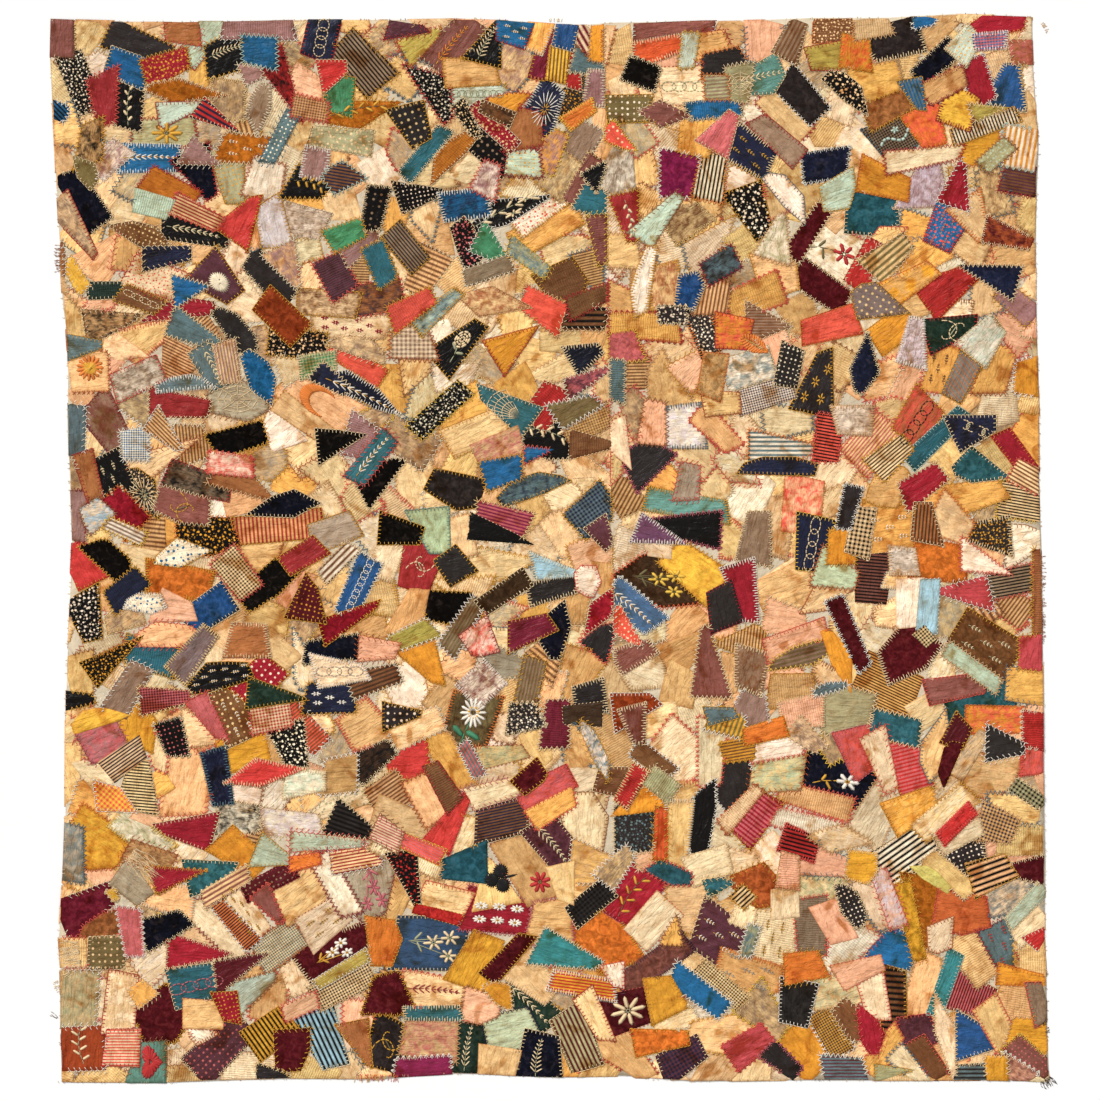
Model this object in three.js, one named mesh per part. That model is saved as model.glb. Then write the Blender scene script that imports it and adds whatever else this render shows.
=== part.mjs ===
// A Victorian crazy quilt top, lying flat and face up.
// It is one uneven oblong of cloth: silk and velvet patches sewn down on a
// cotton foundation, with no filling and no lining.
// Millimetres. +X to the right, +Y to the top edge, +Z up from the floor.
import * as THREE from "three";

// The foundation, the patch and the turned edges of its neighbours.
const CLOTH_THICKNESS = 3;

// The sheet before its edges are drawn uneven.
const HALF_WIDTH = 748;
const HALF_LENGTH = 801;

// Grid of the sheet, in cells.
const COLUMNS = 40;
const ROWS = 42;

// The long edges, from the bottom up: how far each one lies from the middle.
const LONG_EDGES = [
  { up: -801, left: -730, right: 749 },
  { up: -708, left: -734, right: 745 },
  { up: -648, left: -731, right: 745 },
  { up: -588, left: -736, right: 742 },
  { up: -468, left: -727, right: 743 },
  { up: -348, left: -725, right: 740 },
  { up: -228, left: -725, right: 739 },
  { up: -108, left: -721, right: 739 },
  { up: 12, left: -715, right: 737 },
  { up: 72, left: -718, right: 734 },
  { up: 192, left: -722, right: 734 },
  { up: 312, left: -722, right: 730 },
  { up: 372, left: -730, right: 728 },
  { up: 492, left: -736, right: 728 },
  { up: 612, left: -742, right: 733 },
  { up: 732, left: -748, right: 724 },
  { up: 801, left: -746, right: 722 },
];

// The short edges, from left to right, in the same way.
const SHORT_EDGES = [
  { across: -748, bottom: -800, top: 792 },
  { across: -682, bottom: -801, top: 789 },
  { across: -577, bottom: -801, top: 789 },
  { across: -472, bottom: -797, top: 789 },
  { across: -367, bottom: -795, top: 792 },
  { across: -262, bottom: -797, top: 792 },
  { across: -209, bottom: -788, top: 792 },
  { across: -104, bottom: -788, top: 794 },
  { across: 1, bottom: -794, top: 785 },
  { across: 53, bottom: -792, top: 783 },
  { across: 106, bottom: -791, top: 788 },
  { across: 211, bottom: -800, top: 789 },
  { across: 316, bottom: -797, top: 791 },
  { across: 421, bottom: -798, top: 795 },
  { across: 526, bottom: -798, top: 795 },
  { across: 631, bottom: -797, top: 801 },
  { across: 748, bottom: -800, top: 795 },
];

// The cloth is puckered by its seams, so it lies in low broad waves. Each row
// is one family of parallel waves: the way it runs, its pitch and its height.
const WAVES = [
  { heading: 12, pitch: 520, height: 1.5, start: 40 },
  { heading: 74, pitch: 330, height: 1.3, start: 160 },
  { heading: 131, pitch: 240, height: 1.0, start: 250 },
  { heading: 101, pitch: 760, height: 1.6, start: 300 },
];

// Waves lower than this press flat on the floor.
const FLAT_BELOW = 0.3;

// Over this height a wave leaves the floor in a soft foot, not a crease.
const SOFT_FOOT = 2;

// Straight-line reading of one column of a table, at a place on its key column.
function readTable(table, key, column, place) {
  const last = table.length - 1;
  let row = 0;
  while (row < last - 1 && place > table[row + 1][key]) row += 1;
  const share = (place - table[row][key]) / (table[row + 1][key] - table[row][key]);
  const held = THREE.MathUtils.clamp(share, 0, 1);
  return THREE.MathUtils.lerp(table[row][column], table[row + 1][column], held);
}

// Height of the cloth's underside over the floor.
function undersideHeight(x, y) {
  let sum = -FLAT_BELOW;
  for (const wave of WAVES) {
    const heading = THREE.MathUtils.degToRad(wave.heading);
    const along = x * Math.cos(heading) + y * Math.sin(heading);
    const turn = (2 * Math.PI * along) / wave.pitch;
    sum += wave.height * Math.sin(turn + THREE.MathUtils.degToRad(wave.start));
  }
  const rise = Math.max(0, sum);
  return (rise * rise) / (rise + SOFT_FOOT);
}

// Place on the floor of a grid point: the two long edges and the two short
// edges are each read level with it, and it lies in proportion between them.
function floorPlace(column, row) {
  const acrossShare = column / COLUMNS;
  const upShare = row / ROWS;
  const across = THREE.MathUtils.lerp(-HALF_WIDTH, HALF_WIDTH, acrossShare);
  const up = THREE.MathUtils.lerp(-HALF_LENGTH, HALF_LENGTH, upShare);
  const left = readTable(LONG_EDGES, "up", "left", up);
  const right = readTable(LONG_EDGES, "up", "right", up);
  const bottom = readTable(SHORT_EDGES, "across", "bottom", across);
  const top = readTable(SHORT_EDGES, "across", "top", across);
  const x = THREE.MathUtils.lerp(left, right, acrossShare);
  const y = THREE.MathUtils.lerp(bottom, top, upShare);
  return [x, y];
}

// One closed sheet: an upper and a lower grid, sewn together round the edge.
function sheetGeometry() {
  const positions = [];
  const faces = [];
  const stride = COLUMNS + 1;
  const layerPoints = stride * (ROWS + 1);
  for (const thickness of [0, CLOTH_THICKNESS]) {
    for (let row = 0; row <= ROWS; row += 1) {
      for (let column = 0; column <= COLUMNS; column += 1) {
        const [x, y] = floorPlace(column, row);
        positions.push(x, y, undersideHeight(x, y) + thickness);
      }
    }
  }
  for (let row = 0; row < ROWS; row += 1) {
    for (let column = 0; column < COLUMNS; column += 1) {
      const a = row * stride + column;
      const b = a + 1;
      const c = b + stride;
      const d = a + stride;
      faces.push(a, c, b, a, d, c);
      faces.push(a + layerPoints, b + layerPoints, c + layerPoints);
      faces.push(a + layerPoints, c + layerPoints, d + layerPoints);
    }
  }
  // The rim, walked anticlockwise seen from above.
  const rim = [];
  for (let column = 0; column < COLUMNS; column += 1) rim.push(column);
  for (let row = 0; row < ROWS; row += 1) rim.push(row * stride + COLUMNS);
  for (let column = COLUMNS; column > 0; column -= 1) rim.push(ROWS * stride + column);
  for (let row = ROWS; row > 0; row -= 1) rim.push(row * stride);
  rim.forEach((here, index) => {
    const next = rim[(index + 1) % rim.length];
    faces.push(here, next, next + layerPoints);
    faces.push(here, next + layerPoints, here + layerPoints);
  });
  const geometry = new THREE.BufferGeometry();
  geometry.setAttribute("position", new THREE.Float32BufferAttribute(positions, 3));
  geometry.setIndex(faces);
  geometry.computeVertexNormals();
  return geometry;
}

// The middle of the sheet's length and width stands on the origin.
function centredOnFloor(geometry) {
  geometry.computeBoundingBox();
  const middle = geometry.boundingBox.getCenter(new THREE.Vector3());
  return geometry.translate(-middle.x, -middle.y, 0);
}

const patchwork = new THREE.MeshStandardMaterial({
  color: 0xb8916a,
  roughness: 0.75,
  metalness: 0,
});
const quiltTop = new THREE.Mesh(centredOnFloor(sheetGeometry()), patchwork);
quiltTop.name = "quilt_top";

const quilt = new THREE.Group();
quilt.name = "crazy_quilt";
quilt.add(quiltTop);

export default quilt;
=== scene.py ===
# A Victorian crazy quilt top lies flat and face up: silk, velvet and cotton
# scraps sewn by hand on a cotton foundation, with fancy stitches over every
# seam. Metres in Blender; the cloth is laid out in millimetres first.
import math

import bpy
import numpy as np
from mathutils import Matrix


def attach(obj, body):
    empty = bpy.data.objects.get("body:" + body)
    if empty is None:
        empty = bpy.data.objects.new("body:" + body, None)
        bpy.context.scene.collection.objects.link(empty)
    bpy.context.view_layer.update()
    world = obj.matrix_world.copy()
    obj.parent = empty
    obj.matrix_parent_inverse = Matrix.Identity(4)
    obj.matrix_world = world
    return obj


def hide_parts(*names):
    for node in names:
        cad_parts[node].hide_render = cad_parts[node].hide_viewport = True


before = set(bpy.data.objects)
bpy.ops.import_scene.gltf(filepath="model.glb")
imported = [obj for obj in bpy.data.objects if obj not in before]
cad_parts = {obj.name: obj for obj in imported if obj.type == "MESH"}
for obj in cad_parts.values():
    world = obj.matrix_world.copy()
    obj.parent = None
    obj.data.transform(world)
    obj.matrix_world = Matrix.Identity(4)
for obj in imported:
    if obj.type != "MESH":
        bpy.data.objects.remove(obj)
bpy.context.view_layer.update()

MM = 0.001


# The camera looks straight down on the quilt from well above it, so that the
# four edges run true. The picture is 1.65 m wide at the cloth.
PICTURE_PIXELS = 1100
PIXEL_SIZE = 1.5 * MM
PICTURE_MIDDLE_X = 0.2 * MM
PICTURE_MIDDLE_Y = -3.0 * MM
CAMERA_HEIGHT = 6.0
SENSOR_WIDTH = 36.0

camera_data = bpy.data.cameras.new("camera_above")
camera_data.sensor_width = SENSOR_WIDTH
camera_data.lens = SENSOR_WIDTH * CAMERA_HEIGHT / (PICTURE_PIXELS * PIXEL_SIZE)
camera = bpy.data.objects.new("camera_above", camera_data)
camera.location = (PICTURE_MIDDLE_X, PICTURE_MIDDLE_Y, CAMERA_HEIGHT)
bpy.context.collection.objects.link(camera)
bpy.context.scene.camera = camera


# A broad soft lamp stands high at the upper left and the white room fills in
# the rest, so that puckers and stitches throw only faint shadows.
ROOM_LIGHT = 0.58
LAMP_STRENGTH = 2.85
LAMP_WIDTH_DEGREES = 16
LAMP_TILT_DEGREES = 56
LAMP_HEADING_DEGREES = 128

bpy.context.scene.view_settings.view_transform = "Standard"
room = bpy.data.worlds.new("white_room")
room.use_nodes = True
room.node_tree.nodes["Background"].inputs["Color"].default_value = (1.0, 0.99, 0.975, 1.0)
room.node_tree.nodes["Background"].inputs["Strength"].default_value = ROOM_LIGHT
bpy.context.scene.world = room
lamp_data = bpy.data.lights.new("soft_lamp", "SUN")
lamp_data.energy = LAMP_STRENGTH
lamp_data.angle = math.radians(LAMP_WIDTH_DEGREES)
lamp = bpy.data.objects.new("soft_lamp", lamp_data)
lamp.rotation_euler = (math.radians(LAMP_TILT_DEGREES), 0, math.radians(LAMP_HEADING_DEGREES + 90))
bpy.context.collection.objects.link(lamp)


# The floor is a plain pale board, far wider than the quilt. It is not part
# of the quilt.
FLOOR_HALF_WIDTH = 20.0
FLOOR_DROP = 0.3 * MM


class Wire:
    """A shader socket. Python's operators on it add Math nodes."""

    def __init__(self, finish, socket):
        self.finish = finish
        self.socket = socket

    def math(self, operation, first, second):
        return self.finish.node("ShaderNodeMath", {"operation": operation}, {0: first, 1: second})

    def __add__(self, other):
        return self.math("ADD", self, other)

    __radd__ = __add__

    def __sub__(self, other):
        return self.math("SUBTRACT", self, other)

    def __rsub__(self, other):
        return self.math("SUBTRACT", other, self)

    def __mul__(self, other):
        return self.math("MULTIPLY", self, other)

    __rmul__ = __mul__


class Finish:
    """A material under construction. Every node comes from the method node."""

    def __init__(self, name):
        self.material = bpy.data.materials.new(name)
        self.material.use_nodes = True
        self.tree = self.material.node_tree
        self.shader = self.tree.nodes["Principled BSDF"]
        self.place = self.node("ShaderNodeTexCoord", {}, {}, "Object")

    def feed(self, socket, value):
        if isinstance(value, Wire):
            self.tree.links.new(value.socket, socket)
        else:
            socket.default_value = value

    def node(self, kind, settings, values, output=0):
        """A node of a kind: its settings first, then its sockets' values or links."""
        made = self.tree.nodes.new(kind)
        for name, value in settings.items():
            setattr(made, name, value)
        for socket, value in values.items():
            self.feed(made.inputs[socket], value)
        return Wire(self, made.outputs[output])

    def attribute(self, name, output):
        """A value that the mesh carries on its points."""
        return self.node("ShaderNodeAttribute", {"attribute_name": name}, {}, output)

    def noise(self, place, scale, detail=2.0, distortion=0.0):
        """Smooth noise from 0 to 1 about the middle value 0.5. A pair of scales, one for each
        axis of the place, gives streaks."""
        if isinstance(scale, tuple):
            values = {0: place, 1: (*scale, 1.0)}
            place = self.node("ShaderNodeVectorMath", {"operation": "MULTIPLY"}, values)
            scale = 1.0
        values = {"Vector": place, "Scale": scale, "Detail": detail, "Distortion": distortion}
        return self.node("ShaderNodeTexNoise", {}, values)

    def ramp(self, value, low, high, low_result=0.0, high_result=1.0):
        """A soft step: low_result up to low, high_result from high on."""
        values = {"Value": value, "From Min": low, "From Max": high,
                  "To Min": low_result, "To Max": high_result}
        return self.node("ShaderNodeMapRange", {"interpolation_type": "SMOOTHSTEP"}, values)

    def mix(self, share, first, second, blend="MIX"):
        """First colour at share 0, second colour at share 1."""
        settings = {"data_type": "RGBA", "blend_type": blend, "clamp_result": False}
        return self.node("ShaderNodeMix", settings, {0: share, 6: first, 7: second}, 2)

    def shaded(self, colour, amount):
        """The colour times a number, for light and dark places."""
        values = {0: colour, "Scale": amount}
        return self.node("ShaderNodeVectorMath", {"operation": "SCALE"}, values)

    def bump(self, height, distance, strength=1.0, normal=None):
        values = {"Height": height, "Distance": distance, "Strength": strength}
        if normal is not None:
            values["Normal"] = normal
        return self.node("ShaderNodeBump", {}, values)

    def surface(self, colour, roughness, normal=None, gloss=0.5, sheen=0.0, sheen_roughness=0.5):
        """Feeds the shader's sockets. Gloss is its specular level."""
        sockets = {"Base Color": colour, "Roughness": roughness, "Specular IOR Level": gloss,
                   "Sheen Weight": sheen, "Sheen Roughness": sheen_roughness}
        if normal is not None:
            sockets["Normal"] = normal
        for name, value in sockets.items():
            self.feed(self.shader.inputs[name], value)
        return self.material


def add_piece(name, points, faces, material):
    """A mesh object at the origin. Points are in millimetres and faces are rows of corners."""
    mesh = bpy.data.meshes.new(name)
    mesh.vertices.add(len(points))
    mesh.vertices.foreach_set("co", (points * MM).astype(np.float32).ravel())
    mesh.loops.add(faces.size)
    mesh.loops.foreach_set("vertex_index", faces.astype(np.int32).ravel())
    mesh.polygons.add(len(faces))
    starts = np.arange(0, faces.size, faces.shape[1], dtype=np.int32)
    mesh.polygons.foreach_set("loop_start", starts)
    mesh.polygons.foreach_set("use_smooth", np.ones(len(faces), dtype=bool))
    mesh.materials.append(material)
    mesh.update(calc_edges=True)
    piece = bpy.data.objects.new(name, mesh)
    bpy.context.collection.objects.link(piece)
    return piece


def floor_finish():
    finish = Finish("pale_board")
    finish = Finish("pale_board")
    cloud = finish.noise(finish.place, 1.5)
    colour = finish.mix(cloud, (0.93, 0.925, 0.915, 1), (0.97, 0.968, 0.96, 1))
    return finish.surface(colour, 0.9)


floor_corners = np.array([(-1, -1, 0), (1, -1, 0), (1, 1, 0), (-1, 1, 0)]) * FLOOR_HALF_WIDTH / MM
floor_corners[:, 2] = -FLOOR_DROP / MM
floor = add_piece("floor", floor_corners, np.array([[0, 1, 2, 3]]), floor_finish())


# The foundation is one length of plain cotton, the whole size of the quilt.
# It carries every patch and shows only from behind. It lies in low broad
# waves, drawn up by the seams, and its four edges are uneven.
FOUNDATION_THICKNESS = 1.0
HALF_WIDTH = 748
HALF_LENGTH = 801
FOUNDATION_COLUMNS = 90
FOUNDATION_ROWS = 96
FLAT_BELOW = 0.3
SOFT_FOOT = 2.0

# The long edges, from the bottom up: height, left edge, right edge.
LONG_EDGES = np.array([
    (-801, -730, 749), (-708, -734, 745), (-648, -731, 745), (-588, -736, 742),
    (-468, -727, 743), (-348, -725, 740), (-228, -725, 739), (-108, -721, 739),
    (12, -715, 737), (72, -718, 734), (192, -722, 734), (312, -722, 730),
    (372, -730, 728), (492, -736, 728), (612, -742, 733), (732, -748, 724),
    (801, -746, 722),
])

# The short edges, from left to right: place, bottom edge, top edge.
SHORT_EDGES = np.array([
    (-748, -800, 792), (-682, -801, 789), (-577, -801, 789), (-472, -797, 789),
    (-367, -795, 792), (-262, -797, 792), (-209, -788, 792), (-104, -788, 794),
    (1, -794, 785), (53, -792, 783), (106, -791, 788), (211, -800, 789),
    (316, -797, 791), (421, -798, 795), (526, -798, 795), (631, -797, 801),
    (748, -800, 795),
])

# The waves of the cloth: heading in degrees, pitch, height, start in degrees.
WAVES = ((12, 520, 1.5, 40), (74, 330, 1.3, 160), (131, 240, 1.0, 250), (101, 760, 1.6, 300))


def edge_at(table, column, place):
    """Straight-line reading of an edge table at a place along it."""
    return np.interp(place, table[:, 0], table[:, column])


def floor_place(across_share, up_share):
    """Point of the sheet at a share of its width and length: the two long edges and the two
    short edges are each read level with it, and it lies in proportion between them."""
    across = -HALF_WIDTH + 2 * HALF_WIDTH * across_share
    up = -HALF_LENGTH + 2 * HALF_LENGTH * up_share
    left, right = edge_at(LONG_EDGES, 1, up), edge_at(LONG_EDGES, 2, up)
    bottom, top = edge_at(SHORT_EDGES, 1, across), edge_at(SHORT_EDGES, 2, across)
    return left + (right - left) * across_share, bottom + (top - bottom) * up_share


def underside_height(x, y):
    """Sum of the waves, lowered a little and cut off at the floor, with a soft foot."""
    total = np.full(np.shape(x), -FLAT_BELOW)
    for heading, pitch, height, start in WAVES:
        along = x * math.cos(math.radians(heading)) + y * math.sin(math.radians(heading))
        total = total + height * np.sin(2 * math.pi * along / pitch + math.radians(start))
    rise = np.maximum(0, total)
    return rise * rise / (rise + SOFT_FOOT)


rim_shares = np.linspace(0, 1, 400)
rim_x = np.concatenate([floor_place(side, rim_shares)[0] for side in (0.0, 1.0)])
rim_y = np.concatenate([floor_place(rim_shares, side)[1] for side in (0.0, 1.0)])
MIDDLE_X = (rim_x.min() + rim_x.max()) / 2
MIDDLE_Y = (rim_y.min() + rim_y.max()) / 2


def grid_faces(columns, rows):
    """The point numbers of a grid, and its faces as rows of four corners."""
    index = np.arange((columns + 1) * (rows + 1)).reshape(rows + 1, columns + 1)
    corners = (index[:-1, :-1], index[:-1, 1:], index[1:, 1:], index[1:, :-1])
    return index, np.stack([corner.ravel() for corner in corners], axis=1)


def closed_sheet(columns, rows, thickness):
    """Points and faces of a closed sheet: an upper and a lower grid joined round the rim."""
    across, up = np.meshgrid(np.linspace(0, 1, columns + 1), np.linspace(0, 1, rows + 1))
    x, y = floor_place(across, up)
    low = underside_height(x, y)
    lower = np.stack([x - MIDDLE_X, y - MIDDLE_Y, low], axis=-1).reshape(-1, 3)
    upper = lower + (0, 0, thickness)
    index, faces = grid_faces(columns, rows)
    count = len(lower)
    rim = np.concatenate([index[0, :-1], index[:-1, -1], index[-1, :0:-1], index[:0:-1, 0]])
    following = np.roll(rim, -1)
    rim_faces = np.stack([rim, following, following + count, rim + count], axis=1)
    facing_down = faces[:, (0, 3, 2, 1)]
    return np.concatenate([lower, upper]), np.concatenate([faces + count, facing_down, rim_faces])


THREADS_PER_METRE = 1 / (0.9 * MM)
SLUBS_PER_METRE = 90


def cotton_finish():
    """Unbleached plain weave, puckered by the seams, with faint brown age clouds."""
    finish = Finish("foundation_cotton")
    clouds = finish.noise(finish.place, 6.0, 4.0)
    warp = finish.noise(finish.place, (THREADS_PER_METRE, SLUBS_PER_METRE))
    weft = finish.noise(finish.place, (SLUBS_PER_METRE, THREADS_PER_METRE))
    cloth = finish.mix(clouds, (0.62, 0.49, 0.33, 1), (0.74, 0.63, 0.46, 1))
    puckers = finish.noise(finish.place, 60, 4, 0.6)
    cloth = finish.shaded(cloth, 0.55 + 0.3 * warp + 0.55 * puckers)
    normal = finish.bump(warp + weft, 0.4 * MM, 1.0, finish.bump(puckers, 3.0 * MM))
    return finish.surface(cloth, 0.92, normal)


sheet_points, sheet_faces = closed_sheet(FOUNDATION_COLUMNS, FOUNDATION_ROWS, FOUNDATION_THICKNESS)
foundation = add_piece("foundation_cloth", sheet_points, sheet_faces, cotton_finish())
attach(foundation, "root")
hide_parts("quilt_top")


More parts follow.
